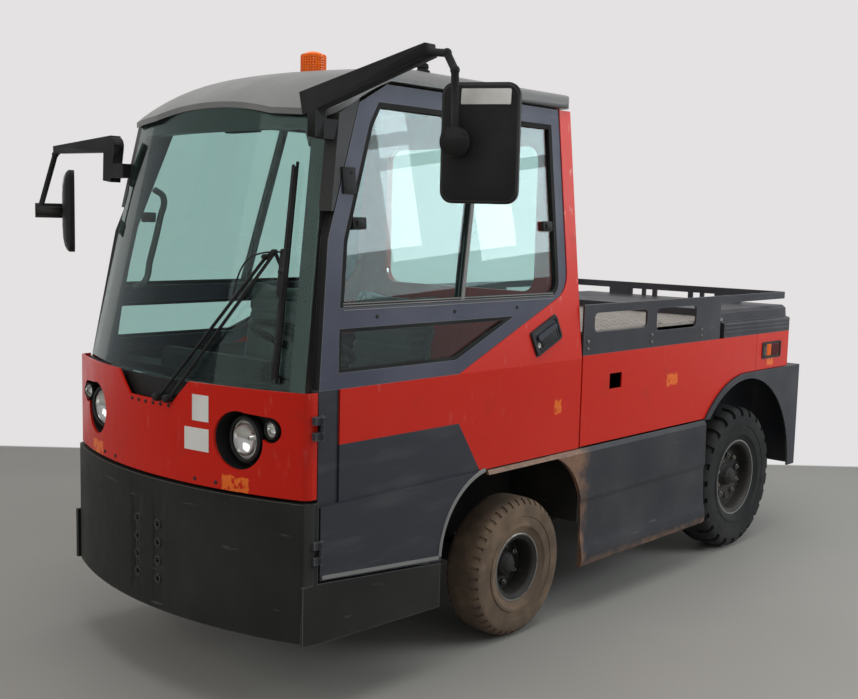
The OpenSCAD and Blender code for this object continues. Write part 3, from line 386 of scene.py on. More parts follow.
def door_dark_zones(paint):
    """Lower panel, slanted field behind the front wheel's arch, hinge strip, inner side and handle plate."""
    slant = (sin(FIELD_SLANT), 0, -cos(FIELD_SLANT))
    field = paint.every(paint.below(0.876, 0.0015), paint.step(paint.along(slant), 0.3024, 0.3040))
    strip = paint.zone((1.5135, None, None), (None, None, 1.052), 0.0008)
    low = paint.below(0.6905, 0.0008)
    outer = paint.maths("ABSOLUTE", paint.along((0, 1, 0)))
    inside = paint.every(paint.step(outer, 0.607, 0.6055), paint.below(WAIST))
    handle = []
    for x, z, half in ((cos(HANDLE_TILT), -sin(HANDLE_TILT), 0.090),
                       (sin(HANDLE_TILT), cos(HANDLE_TILT), 0.051)):
        middle = HANDLE_X * x + HANDLE_Z * z
        handle.append(paint.band((x, 0, z), middle - half, middle + half, 0.0008))
    return paint.either(field, strip, low, inside, paint.every(*handle))


def dark_finish(name, colour, dust, rough=0.5, rust=None, front_edge=None):
    paint = Finish(name, rough=rough, Specular_IOR_Level=0.3)
    tone = paint.noise(3.0, 6)
    shade = paint.mix(paint.step(tone, 0.35, 0.75), colour, dust)
    if front_edge is not None:
        shade = paint.mix(paint.step(paint.facing(0), 0.3, 0.4), shade, front_edge)
    scratches = paint.step(paint.noise(26, 9, (0.25, 0.25, 2.2)), 0.66, 0.72)
    shade = paint.mix(paint.part(scratches, 0.12), shade, srgb(150, 148, 144))
    # sharp edges turn lighter: partly rubbed paint, partly a painted highlight where edges catch the light
    shade = paint.mix(paint.part(paint.edges(0.004), 0.45), shade, srgb(140, 138, 136))
    if rust:
        where = paint.maths("ADD", rust(paint), paint.fray(0.5, 18), True)
        where = paint.step(where, 0.45, 0.75)
        brown = paint.mix(paint.noise(60, 6), srgb(104, 62, 42), srgb(142, 116, 96))
        shade = paint.mix(where, shade, brown)
    paint.relief(paint.noise(300, 3), 0.0006, 0.25)
    return paint.done(shade, paint.blend(paint.noise(8, 5), rough - 0.12, rough + 0.14))


def skirt_rust(paint):
    """Rust where the skirt's front edge meets the spray of the front wheel, and along its foot."""
    front = paint.step(paint.along((1, 0, 0)), -0.02, 0.24)
    foot = paint.part(paint.step(paint.along((0, 0, 1)), 0.30, 0.20), 0.62)
    return paint.either(paint.part(front, 0.74), foot)


red_paint = red_finish("red_paint")
door_paint = red_finish("door_paint", door_dark_zones)
bumper_paint = dark_finish("bumper_paint", srgb(30, 31, 28), srgb(42, 43, 39), 0.55)
panel_paint = dark_finish("panel_paint", DARK, srgb(66, 66, 68), 0.46)
skirt_paint = dark_finish("skirt_paint", srgb(44, 44, 49), srgb(62, 61, 63), 0.42, skirt_rust)
rail_paint = dark_finish("rail_paint", srgb(50, 50, 55), srgb(66, 65, 68), 0.45)
frame_paint = dark_finish("window_frame_paint", srgb(62, 64, 78), srgb(74, 75, 88), 0.38,
                          front_edge=srgb(22, 22, 22))
chassis_paint = dark_finish("chassis_paint", srgb(28, 28, 28), srgb(52, 48, 44), 0.7)
print("paints:", [m.name for m in bpy.data.materials if "paint" in m.name])

# %% [markdown]
# ## Rubber, plastic, glass and metal
# The rest of the finishes: grained black plastic, the satin roof moulding, green glass, lenses, tyres
# that are brown and worn in front and black behind, dusty rims, plate metal and cloth. Each family has
# one function, because its members differ only in colour, gloss and grain.

# %% Other finishes
def plastic_finish(name, colour, dust, rough=0.55, grain=260):
    skin = Finish(name, rough=rough, Specular_IOR_Level=0.35)
    shade = skin.mix(skin.step(skin.noise(4, 6), 0.4, 0.8), colour, dust)
    # sharp edges turn lighter: partly rubbed plastic, partly a painted highlight where edges catch the light
    shade = skin.mix(skin.part(skin.edges(0.003), 0.25), shade, srgb(120, 118, 114))
    skin.relief(skin.noise(grain, 2), 0.0008, 0.35)
    return skin.done(shade, skin.blend(skin.noise(7, 4), rough - 0.1, rough + 0.15))


def glass_finish(name, colour, smear=0.06, index=1.45):
    pane = Finish(name, rough=0.0, IOR=index, Transmission_Weight=1.0)
    dirt = pane.step(pane.noise(5, 7, (1, 1, 0.6)), 0.45, 0.9)
    return pane.done(colour, pane.part(dirt, smear))


def lens_finish(name, colour, weight=0.75):
    lens = Finish(name, rough=0.12, IOR=1.49, Transmission_Weight=weight)
    lens.relief(lens.noise(120, 1), 0.0006, 0.3)
    return lens.done(lens.mix(lens.noise(40, 2), colour, tuple(c * 0.8 for c in colour[:3]) + (1,)))


def tyre_finish(name, tread, wall, dust):
    rubber = Finish(name, rough=0.85)
    worn = rubber.step(rubber.noise(14, 7), 0.35, 0.75)
    shade = rubber.mix(worn, wall, tread)
    shade = rubber.mix(rubber.part(rubber.step(rubber.noise(3.5, 6), 0.45, 0.7), 0.6), shade, dust)
    rubber.relief(rubber.noise(180, 5), 0.0015, 0.4)
    return rubber.done(shade, rubber.blend(rubber.noise(22, 4), 0.72, 0.95))


def metal_finish(name, colour, dirt, rough=0.35, metal=1.0):
    steel = Finish(name, rough=rough, metal=metal)
    shade = steel.mix(steel.step(steel.noise(18, 7), 0.45, 0.75), colour, dirt)
    steel.relief(steel.noise(300, 3, (1, 1, 0.2)), 0.0004, 0.2)
    return steel.done(shade, steel.blend(steel.noise(30, 4), rough - 0.08, rough + 0.2))


black_plastic = plastic_finish("black_plastic", srgb(26, 26, 26), srgb(44, 43, 42))
roof_plastic = plastic_finish("roof_plastic", srgb(106, 106, 104), srgb(116, 115, 113), 0.36, 500)
grey_plastic = plastic_finish("grey_plastic", srgb(118, 117, 114), srgb(136, 134, 130), 0.6)
black_rubber = plastic_finish("black_rubber", srgb(20, 20, 20), srgb(38, 37, 35), 0.7, 400)


def pillar_finish(name):
    """The cab's front hoop: grey inside the glass, black on the flanges outside it."""
    skin = Finish(name, rough=0.5)
    rise = skin.maths("MAXIMUM", skin.maths("SUBTRACT", skin.along((0, 0, 1)), WAIST), 0.0)
    outer = skin.maths("ABSOLUTE", skin.along((0, 1, 0)))
    edge = skin.step(skin.maths("ADD", outer, skin.part(rise, tan(LEAN))), 0.5972, 0.5980)
    grey = skin.mix(skin.noise(5, 6), srgb(58, 57, 55), srgb(80, 78, 74))
    black = skin.mix(skin.noise(5, 6), srgb(32, 32, 32), srgb(54, 53, 50))
    skin.relief(skin.noise(500, 2), 0.0006, 0.3)
    return skin.done(skin.mix(edge, grey, black), skin.blend(skin.noise(7, 4), 0.42, 0.6))


def cloth_finish(name, colour, thread):
    """Woven seat cloth: two crossed sets of fine threads, with a sheen."""
    cloth = Finish(name, rough=0.9, Sheen_Weight=0.3, Sheen_Roughness=0.5)
    warp = cloth.noise(900, 1, (1, 0.06, 0.06))
    weft = cloth.noise(900, 1, (0.06, 1, 1))
    weave = cloth.either(warp, weft)
    cloth.relief(weave, 0.0012, 0.6)
    shade = cloth.mix(cloth.step(cloth.noise(6, 5), 0.35, 0.7), colour, thread)
    return cloth.done(cloth.mix(cloth.step(weave, 0.5, 0.7), shade, thread))


pillar_paint = pillar_finish("pillar_black")
seat_cloth = cloth_finish("seat_cloth", srgb(58, 62, 60), srgb(78, 82, 79))
cab_trim = plastic_finish("cab_trim", srgb(60, 61, 62), srgb(78, 78, 77), 0.7)
GREEN = (0.58, 0.75, 0.72, 1)
green_glass = glass_finish("green_glass", GREEN)
# a low index keeps the studio's mirror image in the windscreen weak
screen_glass = glass_finish("screen_glass", GREEN, 0.02, 1.2)
lamp_glass = glass_finish("lamp_glass", (0.97, 0.97, 0.96, 1), 0.1)
amber_lens = lens_finish("amber_lens", srgb(250, 112, 2), 0.1)
red_lens = lens_finish("red_lens", srgb(150, 26, 20))
brown_tyre = tyre_finish("worn_tyre", srgb(112, 92, 74), srgb(88, 73, 60), srgb(132, 110, 88))
black_tyre = tyre_finish("dark_tyre", srgb(38, 37, 37), srgb(28, 28, 28), srgb(52, 50, 49))
rim_paint = dark_finish("rim_paint", srgb(40, 39, 38), srgb(66, 62, 57), 0.6)
plate_metal = metal_finish("deck_metal", srgb(164, 157, 148), srgb(136, 129, 121), 0.42, 0.7)
bare_steel = metal_finish("bare_steel", srgb(160, 157, 152), srgb(110, 98, 86))
chrome = metal_finish("reflector_chrome", srgb(235, 235, 232), srgb(215, 212, 205), 0.12)
print("finishes:", len(bpy.data.materials))

# %% [markdown]
# ## Dressing the CAD nodes
# Each solid from CAD gets one finish as its only material. A dictionary from finish to names is easy to
# read through, and the print at its end names any solid that was forgotten.

# %% Finishes of the CAD nodes
NODE_FINISH = {
    red_paint: ["front_panel", "cab_rear_wall", "side_panels", "rear_body"],
    door_paint: ["door_shell_left", "door_shell_right"],
    bumper_paint: ["front_bumper"],
    panel_paint: ["rear_fenders", "hinge_brackets"],
    skirt_paint: ["skirts"],
    rail_paint: ["rails", "rear_cover"],
    frame_paint: ["door_frame_left", "door_frame_right"],
    chassis_paint: ["chassis_frame", "battery", "rear_axle", "front_axle", "knuckle_left",
                    "knuckle_right", "coupling", "wheel_houses"],
    black_plastic: ["lamp_pods", "scuttle", "wiper", "mirror_heads", "dashboard", "steering_wheel",
                    "cab_fittings", "seat_base", "mirror_arm_left", "mirror_arm_right"],
    roof_plastic: ["roof"],
    pillar_paint: ["cab_frame"],
    cab_trim: ["cab_floor", "seat_cushions"],
    green_glass: ["cab_glass", "door_glass_left", "door_glass_right"],
    lamp_glass: ["headlamps"],
    amber_lens: ["beacon"],
    red_lens: ["rear_lamps"],
    plate_metal: ["deck_plates"],
    brown_tyre: ["tyre_front_left", "tyre_front_right"],
    black_tyre: ["tyre_rear_left", "tyre_rear_right"],
    rim_paint: ["rim_front_left", "rim_front_right", "rim_rear_left", "rim_rear_right"],
    bare_steel: ["coupling_pin"],
}
for finish, names in NODE_FINISH.items():
    for name in names:
        node[name].data.materials.clear()
        node[name].data.materials.append(finish)
dressed = {name for names in NODE_FINISH.values() for name in names}
print("nodes still plain:", sorted(set(node) - dressed))

# %% [markdown]
# ## Modelling helpers
# Each piece starts as a bmesh. A rounded block, a turned (lathe) shape, a plate cut to an outline and a
# band inside an outline make nearly all of them. When a bmesh is kept as a piece, its doubles are
# merged and its normals are recalculated, because spinning and mirroring can turn faces round.

# %% Helpers
def keep(name, bm, finish, body="chassis", slot="black_plastic", flip=False, sharp=32, stands_for=()):
    """Makes a bmesh a piece that rides on a body; flip moves it to the tractor's other side."""
    if flip:
        bmesh.ops.scale(bm, vec=(1, -1, 1), verts=bm.verts[:])
    bmesh.ops.remove_doubles(bm, verts=bm.verts[:], dist=0.00002)
    bmesh.ops.delete(bm, geom=[vert for vert in bm.verts if not vert.link_faces], context="VERTS")
    mesh = shaded_mesh(name, bm)
    mesh.set_sharp_from_angle(angle=radians(sharp))
    mesh.materials.append(finish)
    piece = put(name, mesh)
    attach(piece, body)
    if stands_for:
        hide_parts(*stands_for)
    return piece


def per_side(name, build, finish, body="door", slot="black_plastic", sharp=32):
    """The same piece on the left and, mirrored, on the right; body names the pair that carries it."""
    for side in ("left", "right"):
        bm = bmesh.new()
        build(bm)
        carrier = body if body == "chassis" else f"{body}_{side}"
        made = keep(f"{name}_{side}", bm, finish, carrier, slot, side == "right", sharp)
    print(name, "faces per side:", len(made.data.polygons))


def block(bm, low, high, round_by=0.002, turn=Matrix(), segments=2):
    """A box between two corners with rounded edges."""
    low, high = Vector(low), Vector(high)
    fit = turn @ Matrix.Translation((low + high) / 2) @ Matrix.Diagonal((*(high - low), 1))
    verts = bmesh.ops.create_cube(bm, size=1, matrix=fit)["verts"]
    if round_by:
        edges = list({edge for vert in verts for edge in vert.link_edges})
        bmesh.ops.bevel(bm, geom=edges, offset=round_by, segments=segments, profile=0.5, affect="EDGES",
                        material=-1, clamp_overlap=True)


def lathe(bm, profile, at, axis=(0, 1, 0), steps=32, angle=2 * pi, start=None):
    """Spins points of (radius, height) about an axis through a point."""
    axis = Vector(axis).normalized()
    arm = (Vector(start) if start else axis.orthogonal()).normalized()
    at = Vector(at)
    verts = [bm.verts.new(at + arm * radius + axis * rise) for radius, rise in profile]
    edges = [bm.edges.new(pair) for pair in zip(verts, verts[1:])]
    full = angle >= 2 * pi
    bmesh.ops.spin(bm, geom=verts + edges, cent=at, axis=axis, angle=angle, steps=steps, use_merge=full)


def thicken(bm, faces, depth, turn, verts):
    grown = bmesh.ops.extrude_face_region(bm, geom=faces)["geom"]
    moved = only(bmesh.types.BMVert, grown)
    bmesh.ops.translate(bm, verts=moved, vec=(0, depth, 0))
    bmesh.ops.transform(bm, matrix=turn, verts=verts + moved)


def plate(bm, outline, low, high, turn=Matrix()):
    """An outline in X and Z as a plate between two values of Y."""
    verts = [bm.verts.new((x, low, z)) for x, z in outline]
    thicken(bm, [bm.faces.new(verts)], high - low, turn, verts)


def band(bm, outline, width, low, high, turn=Matrix()):
    """A band of even width that runs inside an outline in X and Z."""
    verts = [bm.verts.new((x, low, z)) for x, z in outline]
    face = bm.faces.new(verts)
    face.normal_update()
    rim = bmesh.ops.inset_region(bm, faces=[face], thickness=width, use_boundary=True,
                                 use_even_offset=True)["faces"]
    bmesh.ops.delete(bm, geom=[face], context="FACES_ONLY")
    thicken(bm, rim, high - low, turn, list({vert for part in rim for vert in part.verts}))


def corner(cx, cz, radius, first, last, parts=5):
    return [(cx + radius * cos(radians(first + (last - first) * i / parts)),
             cz + radius * sin(radians(first + (last - first) * i / parts))) for i in range(parts + 1)]


def soft_rectangle(width, height, radius, parts=5):
    w, h = width / 2 - radius, height / 2 - radius
    return (corner(w, h, radius, 0, 90, parts) + corner(-w, h, radius, 90, 180, parts)
            + corner(-w, -h, radius, 180, 270, parts) + corner(w, -h, radius, 270, 360, parts))


def strut(bm, start, end, width, depth, outward, round_by=0.001):
    """A flat bar between two points; outward is the side that its depth faces."""
    start, end = Vector(start), Vector(end)
    way = (end - start).normalized()
    across = Vector(outward).cross(way).normalized()
    frame_axes = Matrix((way, across, way.cross(across))).transposed().to_4x4()
    length = (end - start).length
    block(bm, (0, -width / 2, -depth / 2), (length, width / 2, depth / 2), round_by,
          Matrix.Translation(start) @ frame_axes)


def screw(bm, at, axis, radius=0.006, rise=0.003):
    """A round screw head with a sunk middle."""
    lathe(bm, [(0, rise * 0.55), (radius * 0.45, rise * 0.55), (radius * 0.5, rise),
               (radius * 0.8, rise * 0.9), (radius, rise * 0.35), (radius, -0.001)], at, axis, 12)


def tube_curve(name, points, radius, smooth):
    """A curve through points, straight or smooth between them, whose bevel gives its thickness."""
    curve = bpy.data.curves.new(name, "CURVE")
    curve.dimensions = "3D"
    curve.bevel_depth = radius
    curve.bevel_resolution = 3
    curve.use_fill_caps = True
    if smooth:
        curve.resolution_u = 8
        line = curve.splines.new("BEZIER")
        line.bezier_points.add(len(points) - 1)
        for spot, at in zip(line.bezier_points, points):
            spot.co = at
            spot.handle_left_type = spot.handle_right_type = "AUTO"
    else:
        line = curve.splines.new("POLY")
        line.points.add(len(points) - 1)
        for spot, at in zip(line.points, points):
            spot.co = (*at, 1)
    return curve


print("helpers ready")

# %% [markdown]
# ## Round forms made smooth
# A CAD node arrives as loose triangles. For curved mouldings a merged copy with smooth shading, kept
# sharp at the real edges, stands for the node, so the bowed front, the roof and the rims show no facets.

# %% Smooth copies
def smooth_copy(name, body="chassis", slot="black_plastic", sharp=28):
    bm = bmesh.new()
    bm.from_mesh(node[name].data)
    finish = node[name].data.materials[0]
    return keep(name + "_smooth", bm, finish, body, slot, sharp=sharp, stands_for=(name,))


for name, slot in (("roof", "roof_plastic"), ("front_bumper", "dark_paint"), ("front_panel", "red_paint"),
                   ("scuttle", "black_plastic"), ("skirts", "dark_paint"), ("rear_fenders", "dark_paint"),
                   ("mirror_arm_left", "black_plastic"), ("mirror_arm_right", "black_plastic"),
                   ("steering_wheel", "black_plastic"), ("wiper", "black_plastic")):
    smooth_copy(name, slot=slot)
for wheel in ("front_left", "front_right", "rear_left", "rear_right"):
    smooth_copy("rim_" + wheel, "wheel_" + wheel, "wheel_paint")

# %% [markdown]
# ## Tyres and wheels
# The front tyres are worn nearly smooth, with a raised ring beside the rim and a row of small notches
# in the shoulder. The rear tyres have block lugs. Lugs could be modelled one by one and set round the
# tyre, but each tyre here is one turned profile; the notches and the gaps between the lugs are faces of
# it that are inset and pushed inwards, so it stays one closed skin.

# %% Tyres
FRONT_WHEEL, REAR_WHEEL = Vector((0.546, 0.55, 0.268)), Vector((-1.209, 0.535, 0.351))
# half profiles: radius and distance from the middle of the tread
FRONT_HALF = [(0.268, 0.0), (0.2675, 0.030), (0.2650, 0.052), (0.2575, 0.0665), (0.2450, 0.0765),
              (0.2360, 0.0790), (0.2220, 0.0800), (0.1990, 0.0790), (0.1975, 0.0765), (0.1720, 0.0760),
              (0.1700, 0.0795), (0.1600, 0.0790), (0.1560, 0.0750), (0.1380, 0.0700), (0.1320, 0.0665),
              (0.1320, 0.0600)]
REAR_HALF = [(0.351, 0.0), (0.3505, 0.022), (0.3495, 0.040), (0.3470, 0.062), (0.3390, 0.0800),
             (0.3240, 0.0915), (0.3060, 0.0945), (0.2850, 0.0950), (0.2600, 0.0945), (0.2580, 0.0920),
             (0.2240, 0.0915), (0.2220, 0.0940), (0.2120, 0.0935), (0.2100, 0.0905), (0.1920, 0.0850),
             (0.1860, 0.0800), (0.1860, 0.0720)]
NOTCH_EVERY, NOTCH_INNER, NOTCH_OUTER, NOTCH_SIDE, NOTCH_DEPTH = 3, 0.2455, 0.262, 0.05, 0.005
LUG_EVERY, LUG_GAP, LUG_INNER, LUG_SIDE, LUG_DEPTH = 6, 2, 0.296, 0.024, 0.013


def tyre(bm, half, centre, steps, is_gap, depth):
    """A turned tyre; is_gap picks the faces to sink by their step round the tyre, radius and side."""
    profile = [(r, -y) for r, y in reversed(half)] + half[1:]
    lathe(bm, profile, centre, (0, 1, 0), steps, start=(1, 0, 0))
    bmesh.ops.remove_doubles(bm, verts=bm.verts[:], dist=0.00002)
    bmesh.ops.recalc_face_normals(bm, faces=bm.faces[:])
    sunk = []
    for face in bm.faces:
        spot = face.calc_center_median() - centre
        turn = int(math.atan2(spot.z, spot.x) % (2 * pi) / (2 * pi) * steps)
        if is_gap(turn, math.hypot(spot.x, spot.z), spot.y):
            sunk.append(face)
    bmesh.ops.inset_region(bm, faces=sunk, thickness=0.0012, depth=-depth, use_even_offset=True)


def front_notch(turn, radius, side):
    return turn % NOTCH_EVERY == 0 and NOTCH_INNER < radius < NOTCH_OUTER and abs(side) > NOTCH_SIDE


def rear_gap(turn, radius, side):
    shift = 0 if side > 0 else LUG_EVERY // 2
    return (turn + shift) % LUG_EVERY < LUG_GAP and radius > LUG_INNER and abs(side) > LUG_SIDE


for side in ("left", "right"):
    for end, half, centre, steps, gap, depth, finish, slot in (
            ("front", FRONT_HALF, FRONT_WHEEL, 126, front_notch, NOTCH_DEPTH, brown_tyre, "worn_tyre"),
            ("rear", REAR_HALF, REAR_WHEEL, 144, rear_gap, LUG_DEPTH, black_tyre, "black_tyre")):
        bm = bmesh.new()
        tyre(bm, half, centre, steps, gap, depth)
        name = f"tyre_{end}_{side}"
        made = keep(name + "_tread", bm, finish, f"wheel_{end}_{side}", slot, side == "right", 40, (name,))
        print(made.name, "faces:", len(made.data.polygons))

# %% [markdown]
# The discs are bolted on. Hexagon nuts on studs stand in a circle round the hub, a dust cap closes it,
# and a worn bright edge runs round the rim. A hexagon is a six-sided cone of equal radii with its edges
# bevelled, which is quicker than drawing its outline. Caps and edges are turned.

# %% Wheel nuts and caps
def nut(bm, at, radius, rise):
    fit = Matrix.Translation(Vector(at) + Vector((0, rise / 2, 0))) @ Matrix.Rotation(pi / 2, 4, "X")
    verts = bmesh.ops.create_cone(bm, cap_ends=True, segments=6, radius1=radius, radius2=radius, depth=rise,
                                  matrix=fit)["verts"]
    edges = list({edge for vert in verts for edge in vert.link_edges})
    bmesh.ops.bevel(bm, geom=edges, offset=0.0012, segments=1, profile=0.5, affect="EDGES", material=-1)
    stud = [(0, rise + 0.008), (radius * 0.45, rise + 0.007), (radius * 0.5, rise - 0.001)]
    lathe(bm, stud, at, (0, 1, 0), 10)


def wheel_nuts(centre, circle, count, out, radius):
    def build(bm):
        for i in range(count):
            angle = 2 * pi * (i + 0.5) / count
            nut(bm, centre + Vector((circle * cos(angle), out, circle * sin(angle))), radius, 0.014)
    return build


def dust_cap(centre, out, radius):
    def build(bm):
        cap = [(0, 0.016), (radius * 0.5, 0.0145), (radius * 0.85, 0.009), (radius, 0.003), (radius, -0.004)]
        lathe(bm, cap, centre + Vector((0, out, 0)), (0, 1, 0), 24)
    return build


def rim_edge(centre, out, radius):
    def build(bm):
        ring = [(radius - 0.006, 0.0006), (radius - 0.001, 0.0012), (radius + 0.0012, 0.0),
                (radius + 0.0012, -0.004), (radius - 0.006, -0.003), (radius - 0.006, 0.0006)]
        lathe(bm, ring, centre + Vector((0, out, 0)), (0, 1, 0), 72)
    return build


front_nuts = wheel_nuts(FRONT_WHEEL, circle=0.072, count=6, out=-0.007, radius=0.011)
rear_nuts = wheel_nuts(REAR_WHEEL, circle=0.102, count=10, out=0.025, radius=0.013)
front_edge = rim_edge(FRONT_WHEEL, out=0.0672, radius=0.131)
rear_edge = rim_edge(REAR_WHEEL, out=0.0798, radius=0.185)
per_side("front_nuts", front_nuts, bare_steel, "wheel_front", "bare_steel")
per_side("front_cap", dust_cap(FRONT_WHEEL, 0.024, 0.034), rim_paint, "wheel_front", "wheel_paint")
per_side("front_rim_edge", front_edge, bare_steel, "wheel_front", "bare_steel")
per_side("rear_nuts", rear_nuts, bare_steel, "wheel_rear", "bare_steel")
per_side("rear_cap", dust_cap(REAR_WHEEL, 0.056, 0.034), rim_paint, "wheel_rear", "wheel_paint")
per_side("rear_rim_edge", rear_edge, grey_plastic, "wheel_rear", "wheel_paint")

# %% [markdown]
# ## Lamps
# A headlamp is a chrome bowl with a bulb, behind a domed glass that is held by a black ring with three
# screws. The small side lamp beside it is the same lamp at another scale, so the profiles are written
# as shares of a lamp's radius and depth and are turned four times.

# %% Headlamps
LAMP_BACK = 1.6571
# y, z, radius and depth of a headlamp and a side lamp
LAMPS = ((0.404, 0.880, 0.075, 0.040), (0.520, 0.924, 0.029, 0.030))
BOWL = [(0.10, 0.10), (0.34, 0.16), (0.58, 0.32), (0.74, 0.56), (0.80, 0.80), (0.86, 0.80), (0.80, 0.50),
        (0.62, 0.24), (0.36, 0.06), (0, 0.02), (0, 0.50), (0.09, 0.46), (0.10, 0.10)]
RING = [(0.83, 0.60), (0.83, 1.02), (0.87, 1.08), (0.96, 1.05), (1, 0.96), (1, 0.55), (0.80, 0), (0.70, 0),
        (0.83, 0.60)]
LENS = [(0, 1.22), (0.30, 1.20), (0.58, 1.12), (0.78, 1.0), (0.825, 0.94), (0.825, 0.88), (0.76, 0.93),
        (0.56, 1.04), (0.28, 1.12), (0, 1.14)]


def add_lamp(meshes, y, z, radius, depth):
    """Adds a lamp to the meshes of all bowls, rings and lenses, with three screws in its ring."""
    at = Vector((LAMP_BACK, y, z))
    for bm, profile, steps in zip(meshes, (BOWL, RING, LENS), (40, 48, 48)):
        lathe(bm, [(radius * r, depth * d) for r, d in profile], at, (1, 0, 0), steps)
    for angle in (radians(90), radians(210), radians(330)):
        spot = at + Vector((depth * 1.05, radius * 0.92 * cos(angle), radius * 0.92 * sin(angle)))
        screw(meshes[1], spot, (1, 0, 0), radius * 0.055, 0.002)


lamp_meshes = [bmesh.new() for _ in range(3)]
for side in (1, -1):
    for y, z, radius, depth in LAMPS:
        add_lamp(lamp_meshes, side * y, z, radius, depth)
keep("lamp_bowls", lamp_meshes[0], chrome, slot="lamp_glass", stands_for=("headlamps",))
keep("lamp_rings", lamp_meshes[1], black_plastic)
keep("lamp_lenses", lamp_meshes[2], lamp_glass, slot="lamp_glass")
print("front lamps:", 2 * len(LAMPS))

# %% [markdown]
# The beacon keeps its turned body. Fine upright ribs round the lens and a dark foot ring are added. A
# rear lamp has three fluted fields in a black frame; each flute is a thin rounded block on the field.

# %% Beacon and rear lamps
BEACON, RIBS = Vector((1.066, 0, 2.09)), 30
ribs = bmesh.new()
for i in range(RIBS):
    turn = Matrix.Translation(BEACON) @ Matrix.Rotation(2 * pi * i / RIBS, 4, "Z")
    block(ribs, (0.0452, -0.0016, 0.017), (0.0476, 0.0016, 0.077), 0.0006, turn, 1)
keep("beacon_ribs", ribs, amber_lens, slot="amber_lens")
foot = bmesh.new()
lathe(foot, [(0.040, 0.0005), (0.0555, 0.0005), (0.0555, 0.010), (0.0535, 0.0145), (0.0465, 0.0155),
             (0.0465, 0.012), (0.040, 0.0005)], BEACON, (0, 0, 1), 48)
keep("beacon_foot", foot, black_rubber)


def lamp_field(low, high):
    def build(bm):
        block(bm, (low, 0.6425, 0.9445), (high, 0.6465, 1.0025), 0.0012)
        x = low + 0.006
        while x < high - 0.004:
            block(bm, (x, 0.646, 0.948), (x + 0.003, 0.6476, 0.999), 0.0006, segments=1)
            x += 0.006
    return build


per_side("rear_lamp_red", lamp_field(-1.554, -1.462), red_lens, "chassis", "red_lens")
per_side("rear_lamp_amber", lamp_field(-1.460, -1.416), amber_lens, "chassis", "amber_lens")
per_side("rear_lamp_clear", lamp_field(-1.414, -1.372), lamp_glass, "chassis", "lamp_glass")


def lamp_frame(bm):
    outline = [(-1.463 + x, 0.9735 + z) for x, z in soft_rectangle(0.206, 0.083, 0.012)]
    band(bm, outline, 0.0095, 0.6452, 0.6490)


per_side("rear_lamp_frame", lamp_frame, black_plastic, "chassis")

# %% [markdown]
# ## Mirrors
# A mirror head is a thin moulded shell whose back bulges. It starts as a rounded plate; the back is drawn
# out four times, smaller and higher each time, and the other side gets a sunk field for the glass.

# %% Mirror heads
# side, middle of the head and its turn in degrees
MIRRORS = (("left", (1.454, 1.13, 1.795), 28), ("right", (1.411, -1.13, 1.581), -28))
mirror_glass = metal_finish("mirror_glass", srgb(205, 210, 212), srgb(190, 194, 196), 0.06)
label_white = plastic_finish("blank_label", srgb(214, 213, 208), srgb(186, 182, 172), 0.5, 600)
for side, centre, turn in MIRRORS:
    stand = Matrix.Translation(centre) @ Matrix.Rotation(radians(turn) - pi / 2, 4, "Z")
    bm = bmesh.new()
    verts = [bm.verts.new((x, -0.0225, z)) for x, z in soft_rectangle(0.222, 0.334, 0.034)]
    front = bm.faces.new(verts)
    grown = bmesh.ops.extrude_face_region(bm, geom=[front])["geom"]
    back = only(bmesh.types.BMFace, grown)[0]
    bmesh.ops.translate(bm, verts=back.verts[:], vec=(0, 0.022, 0))
    bmesh.ops.recalc_face_normals(bm, faces=bm.faces[:])
    bmesh.ops.inset_region(bm, faces=[front], thickness=0.007, depth=0.0, use_even_offset=True)
    bmesh.ops.inset_region(bm, faces=[front], thickness=0.0015, depth=-0.004, use_even_offset=True)
    for share, rise in ((0.965, 0.005), (0.90, 0.008), (0.80, 0.006), (0.60, 0.003)):
        grown = bmesh.ops.extrude_face_region(bm, geom=[back])["geom"]
        back = only(bmesh.types.BMFace, grown)[0]
        bmesh.ops.scale(bm, vec=(share, 1, share), verts=back.verts[:])
        bmesh.ops.translate(bm, verts=back.verts[:], vec=(0, rise, 0))
    bmesh.ops.transform(bm, matrix=stand, verts=bm.verts[:])
    keep("mirror_shell_" + side, bm, black_plastic, sharp=50, stands_for=("mirror_heads",))
    bm = bmesh.new()
    plate(bm, soft_rectangle(0.202, 0.314, 0.026), -0.0220, -0.0195, stand)
    keep("mirror_glass_" + side, bm, mirror_glass, slot="bare_steel")
    bm = bmesh.new()
    spot = Matrix.Translation((-0.018 if side == "left" else 0.018, 0.0145, 0.126))
    label = stand @ spot @ Matrix.Rotation(radians(9), 4, "X")
    plate(bm, soft_rectangle(0.140, 0.044, 0.004), -0.004, 0.0025, label)
    keep("mirror_label_" + side, bm, label_white)
print("mirror heads made")

# %% [markdown]
# ## Doors
# The cab sides lean inwards above the waist, so the window fittings are drawn upright in a frame of their
# own and turned onto the leaning side by one matrix. Rubber seals line the panes, the upper window slides
# in a grooved rail, and small latches, screws, a hinge plate and a sunk paddle handle sit on the frame.

# %% Door window fittings
SIDE = Matrix.Translation((0, 0.645, WAIST)) @ Matrix.Rotation(LEAN, 4, "X")
OUTWARD = SIDE.to_3x3() @ Vector((0, 1, 0))


def up(z):
    """Height above the waist, measured along the leaning side."""
    return (z - WAIST) / cos(LEAN)


UPPER_PANE = [(x, up(z)) for x, z in [(1.492, 1.30), (1.459, 1.512), (1.317, 1.883), (1.269, 1.955),
                                      (0.331, 1.955)] + corner(0.393, 1.362, 0.062, 180, 270)]
LOWER_PANE = [(x, up(z)) for x, z in [(1.513, 1.10), (0.9557, 1.10), (0.619, 1.236), (1.499, 1.236)]]


def window_seals(bm):
    band(bm, UPPER_PANE, 0.017, -0.0156, -0.0046, SIDE)
    band(bm, LOWER_PANE, 0.012, -0.0156, -0.0046, SIDE)


